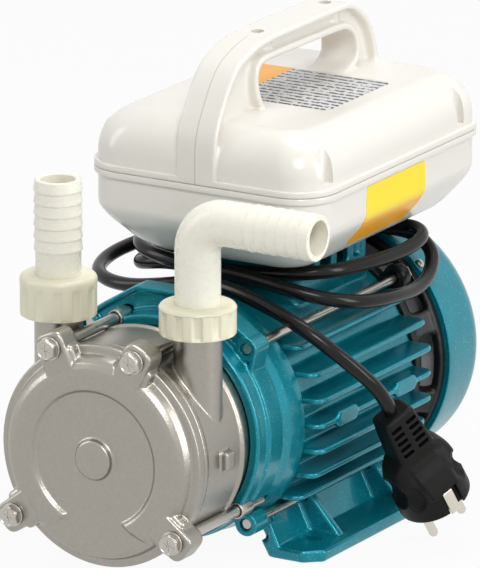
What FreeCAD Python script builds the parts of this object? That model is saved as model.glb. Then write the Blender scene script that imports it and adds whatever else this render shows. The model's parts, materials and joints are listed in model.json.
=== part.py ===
"""An electric transfer pump: a foot-mounted motor, a pump on its front, a switch box and handle on top.

Millimetres. The origin is the centre of the four foot holes on the base plane, +Z is up, the pump faces
-Y and the shaft runs along Y at shaft_height.
"""
import FreeCAD, Part
import math
import os
from types import SimpleNamespace

import Sketcher
from FreeCAD import Placement, Rotation, Vector

DRIVING = {
    # Shaft line, housing and the lengths along the motor
    "shaft_height": 71,
    "housing_radius": 58,
    "housing_front": -61,
    "housing_rear": 56.5,
    "housing_wall": 6,
    "register_wall": 4,
    "register_depth": 5,
    "running_clearance": 0.05,
    "loose_clearance": 0.3,
    # Shaft and bearings
    "shaft_seal_radius": 6,
    "shaft_mid_radius": 9,
    "shaft_end_spare": 1,
    "shaft_rear_spare": 2,
    "front_bearing_bore": 8.5,
    "front_bearing_radius": 20,
    "front_bearing_width": 12,
    "front_bearing_setback": 12,
    "rear_bearing_bore": 7.5,
    "rear_bearing_radius": 17.5,
    "rear_bearing_width": 11,
    "rear_bearing_inset": 4.5,
    "bearing_seat_wall": 5,
    "wave_washer_thickness": 1,
    "slinger_radius": 17,
    "slinger_thickness": 3,
    "slinger_gap": 9,
    # Rotor, stator and windings
    "rotor_radius": 30,
    "rotor_front_room": 33,
    "rotor_rear_room": 24.5,
    "air_gap": 0.5,
    "winding_overhang": 14,
    "winding_tooth": 3,
    "winding_back": 4,
    # Fins, feet and neck
    "fin_pitch": 13.2,
    "fin_thickness": 3,
    "fin_depth_wide": 13.3,
    "fin_depth_third": 9.6,
    "fin_depth_fourth": 1,
    "fin_corner_length": 5,
    "fin_corner_width": 4,
    "foot_hole_across": 112,
    "foot_hole_along": 90,
    "foot_hole_radius": 3.5,
    "foot_slot_length": 12,
    "foot_outer_edge": 16.7,
    "foot_inner_edge": 11,
    "foot_end_edge": 21.6,
    "foot_thickness": 6.4,
    "leg_inset": 17,
    "leg_width": 11,
    "leg_rise": 11,
    "leg_overlap": 14,
    "keel_half_width": 4,
    "keel_half_height": 7,
    "keel_end": 12,
    "gusset_along": 32,
    "gusset_thickness": 5,
    "neck_half_width": 33,
    "neck_length": 74,
    "neck_setback": 2.5,
    "neck_height": 15,
    "neck_wall": 4,
    "neck_boss_radius": 5,
    "neck_slot_pitch": 12,
    "box_screw_radius": 2,
    "box_screw_depth": 11,
    "box_screw_head": 2.6,
    # Front bracket between pump and motor
    "bracket_depth": 31.6,
    "flange_edge": 1,
    "flange_thickness": 13,
    "ring_depth": 9.9,
    "ring_wall": 5,
    "bell_edge": 4.5,
    "bell_land": 5,
    "bracket_web": 4,
    # Long bolts and tie rods
    "bolt_radius": 2.9,
    "bolt_across_flats": 10,
    "bolt_head_height": 4,
    "upper_bolt_reach": 3.3225,
    "upper_bolt_lean": 66.0954,
    "lower_bolt_reach": 2.3836,
    "lower_bolt_lean": -37.3968,
    "washer_radius": 6,
    "washer_thickness": 1.2,
    "standoff_radius": 4.2,
    "standoff_length": 11,
    "lug_radius": 8,
    "tie_reach": 7.053824,
    "rear_lug_radius": 7,
    "rear_lug_length": 7.5,
    "tie_radius": 2.5,
    "tie_nut_across_flats": 8,
    "tie_nut_height": 4,
    # Pump
    "pump_length": 58.7,
    "pump_body_radius": 56.4,
    "pump_body_gap": 18.6,
    "bore_step": 2.4,
    "gasket_thickness": 0.6,
    "cover_edge": 1.2,
    "cover_flange_width": 4.6,
    "cover_ring_width": 19,
    "cover_boss_height": 14.7,
    "cover_boss_radius": 10.3,
    "cover_disc_height": 11.5,
    "cover_ring_height": 14.2,
    "cover_flange_height": 6.2,
    "chamber_wall": 14.4,
    "chamber_relief": 4.2,
    "chamber_depth": 17.3,
    "port_across": 40.7,
    "port_setback": 20.8,
    "port_radius": 12.3,
    "port_wall": 3.8,
    "port_foot_half": 4.2,
    "collar_thread": 2.9,
    "impeller_tip_gap": 2,
    "impeller_setback": 4.3,
    "impeller_thickness": 10,
    "impeller_hub_radius": 11,
    "impeller_hub_step": 4,
    "seal_radius": 11,
    "seal_gap": 4,
    "seal_seat_setback": 10,
    "seal_seat_depth": 8,
    # Union nuts and hose tails
    "nut_wall": 4.5,
    "nut_thread_clearance": 0.08,
    "left_nut_rise": 5.3,
    "left_nut_height": 21,
    "right_nut_rise": 7.4,
    "right_nut_height": 15.4,
    "nut_top_wall": 2.2,
    "tail_flange_thickness": 2.6,
    "tail_flange_edge": 0.6,
    "port_gasket_thickness": 1.6,
    "tail_step": 3.6,
    "tail_wall": 2.6,
    "barb_height": 0.8,
    "barb_pitch": 6.1,
    "left_tail_length": 49.3,
    "elbow_rise": 43.2,
    "elbow_bend_radius": 16,
    "elbow_reach": 69.3,
    # Rear bracket, fan and fan cover
    "rear_bracket_thickness": 6.5,
    "rear_plate_edge": 2,
    "rear_ring_setback": 15.5,
    "rear_ring_length": 8,
    "rear_ring_edge": 8,
    "rear_ring_wall": 5,
    "spoke_radius": 4.5,
    "fan_gap": 4,
    "fan_length": 16,
    "fan_hub_radius": 14,
    "fan_cover_lip": 3,
    "fan_cover_step": 1.5,
    "fan_cover_wall": 1.4,
    "fan_cover_overlap": 4,
    "fan_cover_shoulder_gap": 8,
    "fan_cover_dome": 12,
    "grille_margin": 23.5,
    "cover_screw_radius": 2.4,
    "cover_screw_height": 2,
    # Switch box
    "hull_foot_edge": 10,
    "hull_flare_side": 24.8,
    "hull_foot_front": 17,
    "hull_foot_rear": 50,
    "box_length": 179.9,
    "box_rear_overhang": 62.3,
    "box_corner": 22,
    "box_wall": 2.6,
    "hull_height": 27,
    "side_height": 15,
    "rim_height": 3.5,
    "rim_proud": 1.7,
    "lid_height": 29.9,
    "handle_width": 22.8,
    "handle_rise": 36.6,
    "handle_rear_inset": 14.8,
    "grip_thickness": 12.6,
    "post_radius": 3.4,
    "post_depth": 8,
    "plate_margin": 26.8,
    "plate_front_gap": 63.3,
    "plate_rear_gap": 40.5,
    "plate_thickness": 0.5,
    "label_front_gap": 54.1,
    "label_rear_gap": 65.8,
    "label_top_gap": 1.2,
    "label_thickness": 0.4,
    "capacitor_radius": 15,
    "capacitor_length": 62,
    "capacitor_along": 14,
    "terminal_gap": 3,
    "terminal_width": 18,
    "terminal_along": 24,
    "terminal_length": 38,
    "terminal_height": 18,
    "switch_across": 30,
    "switch_half_width": 10.4,
    "switch_half_height": 6.4,
    "switch_gap": 0.1,
    "switch_flange_edge": 2.1,
    "switch_flange_lip": 0.8,
    "rocker_pin_radius": 1.2,
    "rocker_pin_depth": 1,
    "switch_flange_thickness": 1.6,
    "switch_depth": 22,
    "rocker_room": 0.9,
    # Cord and plug
    "cord_radius": 3.7,
    "coil_lift": 2.3,
    "coil_roof_gap": 0.5,
    "coil_sag": 14,
    "coil_front_room": 30,
    "coil_rear_room": 34,
    "coil_left_room": 54,
    "coil_right_room": 34,
    "coil_gap": 2.5,
    "coil_hole_corner": 7,
    "gland_radius": 7,
    "gland_side_room": 1,
    "gland_rear_room": 12,
    "plug_pin_radius": 2.4,
    "plug_pin_length": 19,
    "plug_pin_spacing": 19,
    "plug_radius": 19.5,
    "plug_length": 60.5,
}


class Size:
    """A length held twice: as a number for drawing, and as a formula over the sheet's named cells."""

    def __init__(self, value, formula):
        self.value = float(value)
        self.formula = formula

    @staticmethod
    def of(other):
        return other if isinstance(other, Size) else Size(other, repr(float(other)))

    def __add__(self, other):
        other = Size.of(other)
        return Size(self.value + other.value, f"({self.formula} + {other.formula})")

    def __sub__(self, other):
        other = Size.of(other)
        return Size(self.value - other.value, f"({self.formula} - {other.formula})")

    def __mul__(self, other):
        other = Size.of(other)
        return Size(self.value * other.value, f"({self.formula} * {other.formula})")

    def __truediv__(self, other):
        other = Size.of(other)
        return Size(self.value / other.value, f"({self.formula} / {other.formula})")

    def __neg__(self):
        return Size(-self.value, f"(0 - {self.formula})")

    __radd__ = __add__
    __rmul__ = __mul__

    def __rsub__(self, other):
        return Size.of(other) - self


doc = FreeCAD.newDocument("transfer_pump")
sheet = doc.addObject("Spreadsheet::Sheet", "Sizes")
size = SimpleNamespace()
for row, (alias, number) in enumerate(DRIVING.items(), start=1):
    sheet.set(f"A{row}", alias)
    sheet.set(f"B{row}", str(number))
    sheet.setAlias(f"B{row}", alias)
    setattr(size, alias, Size(number, f"Sizes.{alias}"))
next_row = len(DRIVING) + 1


def derive(**values):
    """Name sizes that follow from others, each in a cell of its own and rounded to a millionth."""
    global next_row
    for name, value in values.items():
        sheet.set(f"A{next_row}", name)
        formula = value.formula.replace("Sizes.", "")
        sheet.set(f"B{next_row}", f"=round({formula} * 1000000) / 1000000")
        sheet.setAlias(f"B{next_row}", name)
        setattr(size, name, Size(round(value.value, 6), f"Sizes.{name}"))
        next_row += 1


# Across the motor
derive(
    stator_radius=size.housing_radius - size.housing_wall,
    register_radius=size.housing_radius - size.register_wall,
    fin_reach_wide=size.housing_radius + size.fin_depth_wide,
    fin_reach_third=size.housing_radius + size.fin_depth_third,
    fin_reach_fourth=size.housing_radius + size.fin_depth_fourth,
    winding_inner_radius=size.rotor_radius + size.winding_tooth,
    bell_radius=size.housing_radius + size.bell_edge,
    rear_ring_radius=size.housing_radius + size.rear_ring_edge,
    tie_across=(size.housing_radius + size.tie_reach) * math.sqrt(0.5),
    barrel_top=size.shaft_height + size.housing_radius,
    barrel_bottom=size.shaft_height - size.housing_radius,
    foot_outer=size.foot_hole_across / 2 + size.foot_outer_edge,
    foot_inner=size.foot_hole_across / 2 - size.foot_inner_edge,
    foot_half_length=size.foot_hole_along / 2 + size.foot_end_edge,
    leg_top_outer=size.housing_radius - size.leg_inset,
)
derive(
    winding_outer_radius=size.stator_radius - size.winding_back,
    rear_ring_inner=size.rear_ring_radius - size.rear_ring_wall,
    fan_cover_lip_radius=size.rear_ring_radius + size.fan_cover_lip,
    leg_top_inner=size.leg_top_outer - size.leg_width,
    leg_top_height=size.barrel_bottom + size.leg_rise,
)
derive(
    fan_radius=size.rear_ring_inner - size.fan_gap,
    fan_cover_radius=size.fan_cover_lip_radius - size.fan_cover_step,
)
# Across the pump
derive(
    cover_radius=size.pump_body_radius + size.cover_edge,
    ring_inner_radius=size.pump_body_radius - size.bore_step,
    chamber_radius=size.pump_body_radius - size.chamber_wall,
    port_bore=size.port_radius - size.port_wall,
    collar_radius=size.port_radius + size.collar_thread,
    seal_seat_radius=size.seal_radius + size.seal_gap,
)
derive(
    cover_shoulder_radius=size.cover_radius - size.cover_flange_width,
    ring_outer_radius=size.ring_inner_radius + size.ring_wall,
    impeller_radius=size.chamber_radius - size.impeller_tip_gap,
    nut_radius=size.collar_radius + size.nut_wall,
    tail_radius=size.collar_radius - size.tail_step,
    elbow_end=size.port_across + size.elbow_reach,
)
derive(
    cover_disc_radius=size.cover_shoulder_radius - size.cover_ring_width,
    flange_radius=size.ring_outer_radius + size.flange_edge,
)
# Along the shaft
derive(
    flange_front=size.housing_front - size.bracket_depth,
    bell_rear=size.housing_front - size.bell_land,
    front_bearing_front=size.housing_front - size.front_bearing_setback,
    rotor_front=size.housing_front + size.rotor_front_room,
    rotor_rear=size.housing_rear - size.rotor_rear_room,
    rear_bearing_front=size.housing_rear - size.rear_bearing_inset,
    rear_ring_front=size.housing_rear + size.rear_ring_setback,
)
derive(
    ring_front=size.flange_front - size.ring_depth,
    pump_body_rear=size.flange_front - size.pump_body_gap,
    joint_face=size.flange_front - size.pump_length,
    rear_ring_rear=size.rear_ring_front + size.rear_ring_length,
    fan_cover_front=size.rear_ring_front + size.fan_cover_overlap,
)
derive(
    cover_boss_front=size.joint_face - size.cover_boss_height,
    cover_disc_front=size.joint_face - size.cover_disc_height,
    cover_ring_front=size.joint_face - size.cover_ring_height,
    cover_flange_front=size.joint_face - size.cover_flange_height,
    chamber_front=size.joint_face - size.chamber_relief,
    chamber_rear=size.joint_face + size.chamber_depth,
    port_along=size.joint_face + size.port_setback,
    impeller_front=size.joint_face + size.impeller_setback,
    fan_front=size.rear_ring_rear + size.fan_gap,
)
derive(
    impeller_rear=size.impeller_front + size.impeller_thickness,
    seal_seat_front=size.chamber_rear + size.seal_seat_setback,
    shaft_front=size.impeller_front - size.shaft_end_spare,
    fan_rear=size.fan_front + size.fan_length,
)
derive(
    seal_seat_rear=size.seal_seat_front + size.seal_seat_depth,
    shaft_rear=size.fan_rear + size.shaft_rear_spare,
    fan_cover_shoulder=size.fan_rear + size.fan_cover_shoulder_gap,
)
derive(fan_cover_rear=size.fan_cover_shoulder + size.fan_cover_dome)
# Heights of the ports and hose tails
derive(
    left_nut_bottom=size.shaft_height + size.pump_body_radius + size.left_nut_rise,
    right_nut_bottom=size.shaft_height + size.pump_body_radius + size.right_nut_rise,
)
derive(
    left_tail_top=size.left_nut_bottom + size.left_nut_height + size.left_tail_length,
    elbow_axis_height=size.right_nut_bottom + size.right_nut_height + size.elbow_rise,
)
# Switch box, handle, plate and label
derive(
    hull_bottom=size.barrel_top + size.neck_height,
    hull_bottom_half_width=size.neck_half_width + size.hull_foot_edge,
    neck_rear=size.housing_rear - size.neck_setback,
)
derive(
    hull_fold=size.hull_bottom + size.hull_height,
    box_half_width=size.hull_bottom_half_width + size.hull_flare_side,
    neck_front=size.neck_rear - size.neck_length,
    box_rear=size.neck_rear + size.box_rear_overhang,
    hull_bottom_rear=size.neck_rear + size.hull_foot_rear,
)
derive(
    rim_bottom=size.hull_fold + size.side_height,
    hull_bottom_front=size.neck_front - size.hull_foot_front,
    box_front=size.box_rear - size.box_length,
    handle_rear=size.box_rear - size.handle_rear_inset,
    plate_half_width=size.box_half_width - size.plate_margin,
    label_rear=size.box_rear - size.label_rear_gap,
)
derive(
    rim_seam=size.rim_bottom + size.rim_height,
    handle_front=size.box_front - size.rim_proud,
    plate_rear=size.handle_rear - size.plate_rear_gap,
    label_front=size.box_front + size.label_front_gap,
)
derive(
    rim_top=size.rim_seam + size.rim_height,
    lid_top=size.rim_seam + size.lid_height,
    plate_front=size.handle_front + size.plate_front_gap,
)
derive(handle_top=size.lid_top + size.handle_rise)
# Coil and gland
derive(
    coil_bottom=size.barrel_top + size.coil_lift,
    coil_front=size.neck_front - size.coil_front_room,
    coil_rear=size.neck_rear + size.coil_rear_room,
    coil_left=-size.neck_half_width - size.coil_left_room,
    coil_right=size.neck_half_width + size.coil_right_room,
    gland_across=-size.neck_half_width - size.gland_side_room,
    gland_along=size.neck_rear + size.gland_rear_room,
)
derive(coil_thickness=size.hull_bottom - size.coil_bottom - size.coil_roof_gap)
doc.recompute()

nodes = []
SHAFT_LINE = (0, 0, size.shaft_height)


def bind(thing, name, value):
    """Set a property to a size and keep it bound to the sheet."""
    value = Size.of(value)
    setattr(thing, name, value.value)
    thing.setExpression(name, value.formula)


def place(thing, at, axis=(0, 0, 1), angle=0):
    """Put a thing at a point whose three coordinates are sizes, turned about an axis by degrees."""
    point = [Size.of(coordinate) for coordinate in at]
    thing.Placement = Placement(Vector(*[p.value for p in point]), Rotation(Vector(*axis), angle))
    for letter, coordinate in zip("xyz", point):
        thing.setExpression(f"Placement.Base.{letter}", coordinate.formula)
    return thing


def new(kind, label):
    thing = doc.addObject(kind, label)
    thing.Label = label
    return thing


def kept(thing, label=None):
    """Keep a thing as one of the object's pieces."""
    if label:
        thing.Label = label
    nodes.append(thing)
    return thing


def block(label, low, high):
    """A box between two corners."""
    low = [Size.of(value) for value in low]
    high = [Size.of(value) for value in high]
    box = new("Part::Box", label)
    for name, first, last in zip(("Length", "Width", "Height"), low, high):
        bind(box, name, last - first)
    return place(box, low)


def rod(label, radius, start, length, along="y"):
    """A cylinder that starts at a point and runs along +X, +Y or +Z."""
    cylinder = new("Part::Cylinder", label)
    bind(cylinder, "Radius", radius)
    bind(cylinder, "Height", length)
    axis, angle = {"x": ((0, 1, 0), 90), "y": ((1, 0, 0), -90), "z": ((0, 0, 1), 0)}[along]
    return place(cylinder, start, axis, angle)


def sketch_on(body, role, points, label):
    """A closed outline of straight lines whose every corner is bound to the sheet."""
    points = [(Size.of(u), Size.of(v)) for u, v in points]
    sketch = body.newObject("Sketcher::SketchObject", label)
    plane = next(item for item in body.Origin.OriginFeatures if item.Role == role)
    sketch.AttachmentSupport = [(plane, "")]
    sketch.MapMode = "FlatFace"
    corners = [Vector(u.value, v.value, 0) for u, v in points]
    count = len(corners)
    for index in range(count):
        sketch.addGeometry(Part.LineSegment(corners[index], corners[(index + 1) % count]), False)
    rules = []
    for index in range(count):
        rules.append(Sketcher.Constraint("Coincident", index, 2, (index + 1) % count, 1))
    for index, corner in enumerate(corners):
        rules.append(Sketcher.Constraint("DistanceX", -1, 1, index, 1, corner.x))
        rules.append(Sketcher.Constraint("DistanceY", -1, 1, index, 1, corner.y))
    sketch.addConstraint(rules)
    for index, (u, v) in enumerate(points):
        for rule, coordinate in ((count + 2 * index, u), (count + 2 * index + 1, v)):
            if "Sizes" in coordinate.formula:
                sketch.setExpression(f"Constraints[{rule}]", coordinate.formula)
    return sketch


def turned(label, profile, at=SHAFT_LINE, upright=False):
    """A solid of revolution from (along, radius) corners, about Y, or about Z where upright."""
    body = new("PartDesign::Body", label)
    if upright:
        sketch = sketch_on(body, "XZ_Plane", [(radius, along) for along, radius in profile], label + "_profile")
    else:
        sketch = sketch_on(body, "YZ_Plane", profile, label + "_profile")
    turn = body.newObject("PartDesign::Revolution", label + "_turn")
    turn.Profile = sketch
    turn.ReferenceAxis = (sketch, ["V_Axis" if upright else "H_Axis"])
    turn.Angle = 360
    sketch.Visibility = False
    return place(body, at)


def ring(label, start, end, inner, outer, at=SHAFT_LINE, upright=False):
    """A plain washer or tube."""
    return turned(label, [(start, inner), (end, inner), (end, outer), (start, outer)], at, upright)


def prism(label, plane, outline, low, high, at=(0, 0, 0)):
    """An outline padded between two distances along the plane's normal: XY along Z, XZ along Y, YZ along X."""
    body = new("PartDesign::Body", label)
    sketch = sketch_on(body, plane + "_Plane", outline, label + "_outline")
    pad = body.newObject("PartDesign::Pad", label + "_pad")
    pad.Profile = sketch
    low, high = Size.of(low), Size.of(high)
    bind(pad, "Length", high - low)
    sketch.Visibility = False
    shift = {"XY": (0, 0, low), "XZ": (0, high, 0), "YZ": (low, 0, 0)}[plane]
    return place(body, [a + Size.of(b) for a, b in zip(shift, at)])


def joined(label, things):
    union = new("Part::MultiFuse", label)
    union.Shapes = things
    return union


def cut(label, base, tools):
    """A base less one or more tools."""
    result = new("Part::Cut", label)
    result.Base = base
    result.Tool = tools[0] if len(tools) == 1 else joined(label + "_tools", tools)
    return result


def group(label, things):
    """Separate solids kept in one node, such as a set of screws."""
    bundle = new("Part::Compound", label)
    bundle.Links = things
    return bundle


def hexagon(label, across_flats, start, length):
    """A hexagonal bar along Y."""
    bar = new("Part::Prism", label)
    bar.Polygon = 6
    bind(bar, "Circumradius", Size.of(across_flats) / math.sqrt(3))
    bind(bar, "Height", length)
    return place(bar, start, (1, 0, 0), -90)


# Places that several pieces share
upper_lean = math.radians(size.upper_bolt_lean.value)
lower_lean = math.radians(size.lower_bolt_lean.value)
derive(
    upper_bolt_across=(size.pump_body_radius + size.upper_bolt_reach) * math.cos(upper_lean),
    upper_bolt_height=(size.pump_body_radius + size.upper_bolt_reach) * math.sin(upper_lean),
    lower_bolt_across=(size.pump_body_radius + size.lower_bolt_reach) * math.cos(lower_lean),
    lower_bolt_height=(size.pump_body_radius + size.lower_bolt_reach) * math.sin(lower_lean),
)
bolt_places = [
    (side * across, size.shaft_height + height)
    for across, height in (
        (size.upper_bolt_across, size.upper_bolt_height),
        (size.lower_bolt_across, size.lower_bolt_height),
    )
    for side in (-1, 1)
]
tie_places = [
    (side * size.tie_across, size.shaft_height + level * size.tie_across)
    for side in (-1, 1)
    for level in (-1, 1)
]
bolt_hole_radius = size.bolt_radius + size.loose_clearance
flange_rear = size.flange_front + size.flange_thickness

# Pump cover: a dished disc with a raised ring that is open at the bottom, and four ears for the bolts
cover_plate = turned("cover_plate", [
    (size.cover_boss_front, 0),
    (size.cover_boss_front, size.cover_boss_radius),
    (size.cover_disc_front, size.cover_boss_radius),
    (size.cover_disc_front, size.cover_disc_radius),
    (size.cover_ring_front, size.cover_disc_radius + 2.5),
    (size.cover_ring_front, size.cover_shoulder_radius - 8),
    (size.cover_ring_front + 1.5, size.cover_shoulder_radius - 3.5),
    (size.cover_ring_front + 4.5, size.cover_shoulder_radius - 0.8),
    (size.cover_flange_front, size.cover_shoulder_radius),
    (size.cover_flange_front, size.cover_radius),
    (size.joint_face, size.cover_radius),
    (size.joint_face, size.chamber_radius),
    (size.chamber_front, size.chamber_radius),
    (size.chamber_front, 0),
])
gap_share = size.cover_radius / 57.6
ring_gap = prism("cover_ring_gap", "XZ", [
    (gap_share * -15.4, gap_share * -30.5), (gap_share * 15.4, gap_share * -30.5), (gap_share * 39, gap_share * -40),
    (gap_share * 42, gap_share * -60), (gap_share * -42, gap_share * -60), (gap_share * -39, gap_share * -40),
], size.cover_ring_front - 1, size.cover_disc_front, SHAFT_LINE)
ears = [
    rod(f"cover_ear_{i}", size.lug_radius, (x, size.cover_ring_front, z),
        size.joint_face - size.cover_ring_front)
    for i, (x, z) in enumerate(bolt_places)
]
cover_holes = [
    rod(f"cover_hole_{i}", bolt_hole_radius, (x, size.cover_ring_front - 1, z),
        size.cover_ring_height + 2)
    for i, (x, z) in enumerate(bolt_places)
]
cover_core = cut("cover_core", cover_plate, [ring_gap])
chamber_clear = ring("cover_chamber_clear", size.chamber_front, size.joint_face + 1, 0, size.chamber_radius)
kept(cut("pump_cover", joined("cover_with_ears", [cover_core] + ears), cover_holes + [chamber_clear]))

# Gasket between cover and body
gasket_rear = size.joint_face + size.gasket_thickness
kept(ring("cover_gasket", size.joint_face, gasket_rear, size.chamber_radius, size.cover_shoulder_radius - 3))

# Pump body with two upright port tubes, each with a collar for its union nut
body_shell = turned("body_shell", [
    (gasket_rear, 0),
    (gasket_rear, size.pump_body_radius),
    (size.pump_body_rear, size.pump_body_radius),
    (size.pump_body_rear, size.ring_inner_radius - size.loose_clearance),
    (size.flange_front, size.ring_inner_radius - size.loose_clearance),
    (size.flange_front, size.ring_inner_radius - 7),
    (size.seal_seat_rear, size.ring_inner_radius - 7),
    (size.seal_seat_rear, 0),
])
port_tops = {
    "left": size.left_nut_bottom + size.left_nut_height,
    "right": size.right_nut_bottom + size.right_nut_height,
}
nut_bottoms = {"left": size.left_nut_bottom, "right": size.right_nut_bottom}
port_sides = {"left": -1, "right": 1}
tail_flange_tops = {side: top - size.nut_top_wall - 0.1 for side, top in port_tops.items()}
tail_flange_bottoms = {side: top - size.tail_flange_thickness for side, top in tail_flange_tops.items()}
collar_tops = {side: low - size.port_gasket_thickness for side, low in tail_flange_bottoms.items()}
tubes = []
bores = []
for side, sign in port_sides.items():
    x = sign * size.port_across
    axis = (x, size.port_along, 0)
    tubes.append(turned(f"port_tube_{side}", [
        (size.shaft_height, 0),
        (size.shaft_height, size.port_radius),
        (nut_bottoms[side] + 0.6, size.port_radius),
        (nut_bottoms[side] + 1.6, size.collar_radius),
        (collar_tops[side], size.collar_radius),
        (collar_tops[side], 0),
    ], axis, upright=True))
    tubes.append(block(
        f"port_foot_{side}",
        (x + (sign * size.port_radius - size.port_foot_half), size.port_along - size.port_foot_half,
         size.shaft_height - size.port_foot_half - 0.3),
        (x + (sign * size.port_radius + size.port_foot_half), size.port_along + size.port_foot_half,
         size.shaft_height + size.port_foot_half + 0.3),
    ))
    bores.append(rod(
        f"port_bore_{side}", size.port_bore, (x, size.port_along, size.shaft_height + 14),
        collar_tops[side] - size.shaft_height, "z",
    ))
    bores.append(rod(
        f"port_feed_{side}", size.port_bore - 3,
        (sign * (size.port_across - 7.7), size.chamber_rear - 8, size.shaft_height + 21), 12,
    ))
body_bores = [
    ring("chamber_hollow", gasket_rear - 1, size.chamber_rear, 0, size.chamber_radius),
    ring("seal_hollow", size.chamber_rear - 1, size.seal_seat_rear - 2, 0, size.seal_seat_radius),
    ring("shaft_way", size.seal_seat_rear - 3, size.seal_seat_rear + 1, 0, size.front_bearing_bore + 1.5),
]
body_rods = [
    rod(f"body_bolt_clear_{i}", size.bolt_radius + 1, (x, gasket_rear - 1, z),
        size.flange_front - gasket_rear + 2)
    for i, (x, z) in enumerate(bolt_places)
]
kept(cut("pump_body", joined("body_with_ports", [body_shell] + tubes), body_bores + bores + body_rods))

# Long bolts that clamp the cover and body to the motor flange, their washers and standoffs
bolts = []
washers = []
standoffs = []
for i, (x, z) in enumerate(bolt_places):
    head_rear = size.cover_ring_front - size.washer_thickness
    head = hexagon(f"bolt_head_{i}", size.bolt_across_flats, (x, head_rear - size.bolt_head_height, z),
                   size.bolt_head_height)
    shank = rod(f"bolt_shank_{i}", size.bolt_radius, (x, head_rear - 1, z), flange_rear - head_rear - 1)
    bolts.append(joined(f"cover_bolt_{i}", [head, shank]))
    washers.append(ring(f"bolt_washer_{i}", head_rear, size.cover_ring_front, bolt_hole_radius,
                        size.washer_radius, (x, 0, z)))
    standoffs.append(ring(f"standoff_{i}", size.flange_front - size.standoff_length, size.flange_front,
                          bolt_hole_radius, size.standoff_radius, (x, 0, z)))
kept(group("cover_bolts", bolts))
kept(group("bolt_washers", washers))
kept(group("standoffs", standoffs))

# Impeller with open blade slots round its rim, on the shaft's front end
shaft_bore = size.shaft_seal_radius + size.running_clearance
impeller_disc = ring("impeller_disc", size.impeller_front, size.impeller_rear, shaft_bore,
                     size.impeller_radius)
impeller_hub = ring("impeller_hub", size.impeller_front, size.impeller_rear + size.impeller_hub_step, shaft_bore,
                    size.impeller_hub_radius)
blade_count = 24
slots = []
for i in range(blade_count):
    slot = new("Part::Box", f"impeller_slot_{i}")
    bind(slot, "Length", 5)
    bind(slot, "Width", 3.5)
    bind(slot, "Height", 7)
    turn = Rotation(Vector(0, 1, 0), 360 / blade_count * i)
    corner = turn.multVec(Vector(-2.5, 0, size.impeller_radius.value - 6))
    slot.Placement = Placement(corner, turn)
    angle = f"{360 / blade_count * i} * 1 deg"
    slot.setExpression("Placement.Base.x", f"(Sizes.impeller_radius - 6) * sin({angle}) - 2.5 * cos({angle})")
    slot.setExpression("Placement.Base.y", "Sizes.impeller_front - 0.5")
    slot.setExpression(
        "Placement.Base.z", f"Sizes.shaft_height + 2.5 * sin({angle}) + (Sizes.impeller_radius - 6) * cos({angle})")
    slots.append(slot)
keyway = block("impeller_keyway", (-2.05, size.impeller_front - 1, size.shaft_height),
               (2.05, size.impeller_rear + 5, size.shaft_height + shaft_bore + 1.6))
kept(cut("impeller", joined("impeller_blank", [impeller_disc, impeller_hub]), slots + [keyway]))
kept(block("impeller_key", (-2, size.impeller_front + 1, size.shaft_height + size.shaft_seal_radius - 1.5),
           (2, size.impeller_rear + 3, size.shaft_height + size.shaft_seal_radius + 1.5)))

# Shaft seal: a turning ring on the shaft and a still seat in the body
kept(ring("mechanical_seal", size.impeller_rear + size.impeller_hub_step + 0.2, size.seal_seat_front - 0.1, shaft_bore, size.seal_radius))
kept(ring("seal_seat", size.seal_seat_front, size.seal_seat_rear - 2, size.shaft_seal_radius + 1,
          size.seal_seat_radius))

# Union nuts, port gaskets and hose tails
nut_bore = size.collar_radius + size.nut_thread_clearance
tail_way = size.tail_radius + size.nut_thread_clearance
for side, sign in port_sides.items():
    axis = (sign * size.port_across, size.port_along, 0)
    low = nut_bottoms[side]
    top = port_tops[side]
    kept(turned(f"union_nut_{side}", [
        (low, nut_bore),
        (low, size.nut_radius - 0.8),
        (low + 0.8, size.nut_radius),
        (top - 2.5, size.nut_radius),
        (top, size.nut_radius - 2.2),
        (top, tail_way),
        (top - size.nut_top_wall, tail_way),
        (top - size.nut_top_wall, nut_bore),
    ], axis, upright=True))
    kept(ring(f"port_gasket_{side}", collar_tops[side], tail_flange_bottoms[side], size.port_bore,
              size.collar_radius - size.tail_flange_edge, axis, upright=True))


def barbs(start, count, pitch, sign=1):
    """Corners of saw-tooth barbs along a tail, (along, radius)."""
    corners = []
    for step in range(count):
        foot = start + sign * step * pitch
        corners.append((foot, size.tail_radius + size.barb_height))
        corners.append((foot + sign * (pitch - 1.2), size.tail_radius))
        corners.append((foot + sign * (pitch - 0.4), size.tail_radius))
    return corners


tail_bore = size.tail_radius - size.tail_wall
left_barb_start = size.left_tail_top - 6 * size.barb_pitch
kept(turned("hose_tail_straight", [
    (tail_flange_bottoms["left"], tail_bore),
    (tail_flange_bottoms["left"], size.collar_radius - size.tail_flange_edge),
    (tail_flange_tops["left"], size.collar_radius - size.tail_flange_edge),
    (tail_flange_tops["left"], size.tail_radius),
    (left_barb_start - 0.4, size.tail_radius),
] + barbs(left_barb_start, 6, size.barb_pitch) + [
    (size.left_tail_top, size.tail_radius - 0.6),
    (size.left_tail_top, tail_bore),
], (-size.port_across, size.port_along, 0), upright=True))

bend_start = size.elbow_axis_height - size.elbow_bend_radius
elbow_x = size.port_across + size.elbow_bend_radius
elbow_riser = turned("elbow_riser", [
    (tail_flange_bottoms["right"], 0),
    (tail_flange_bottoms["right"], size.collar_radius - size.tail_flange_edge),
    (tail_flange_tops["right"], size.collar_radius - size.tail_flange_edge),
    (tail_flange_tops["right"], size.tail_radius),
    (bend_start, size.tail_radius),
    (bend_start, 0),
], (size.port_across, size.port_along, 0), upright=True)


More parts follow.
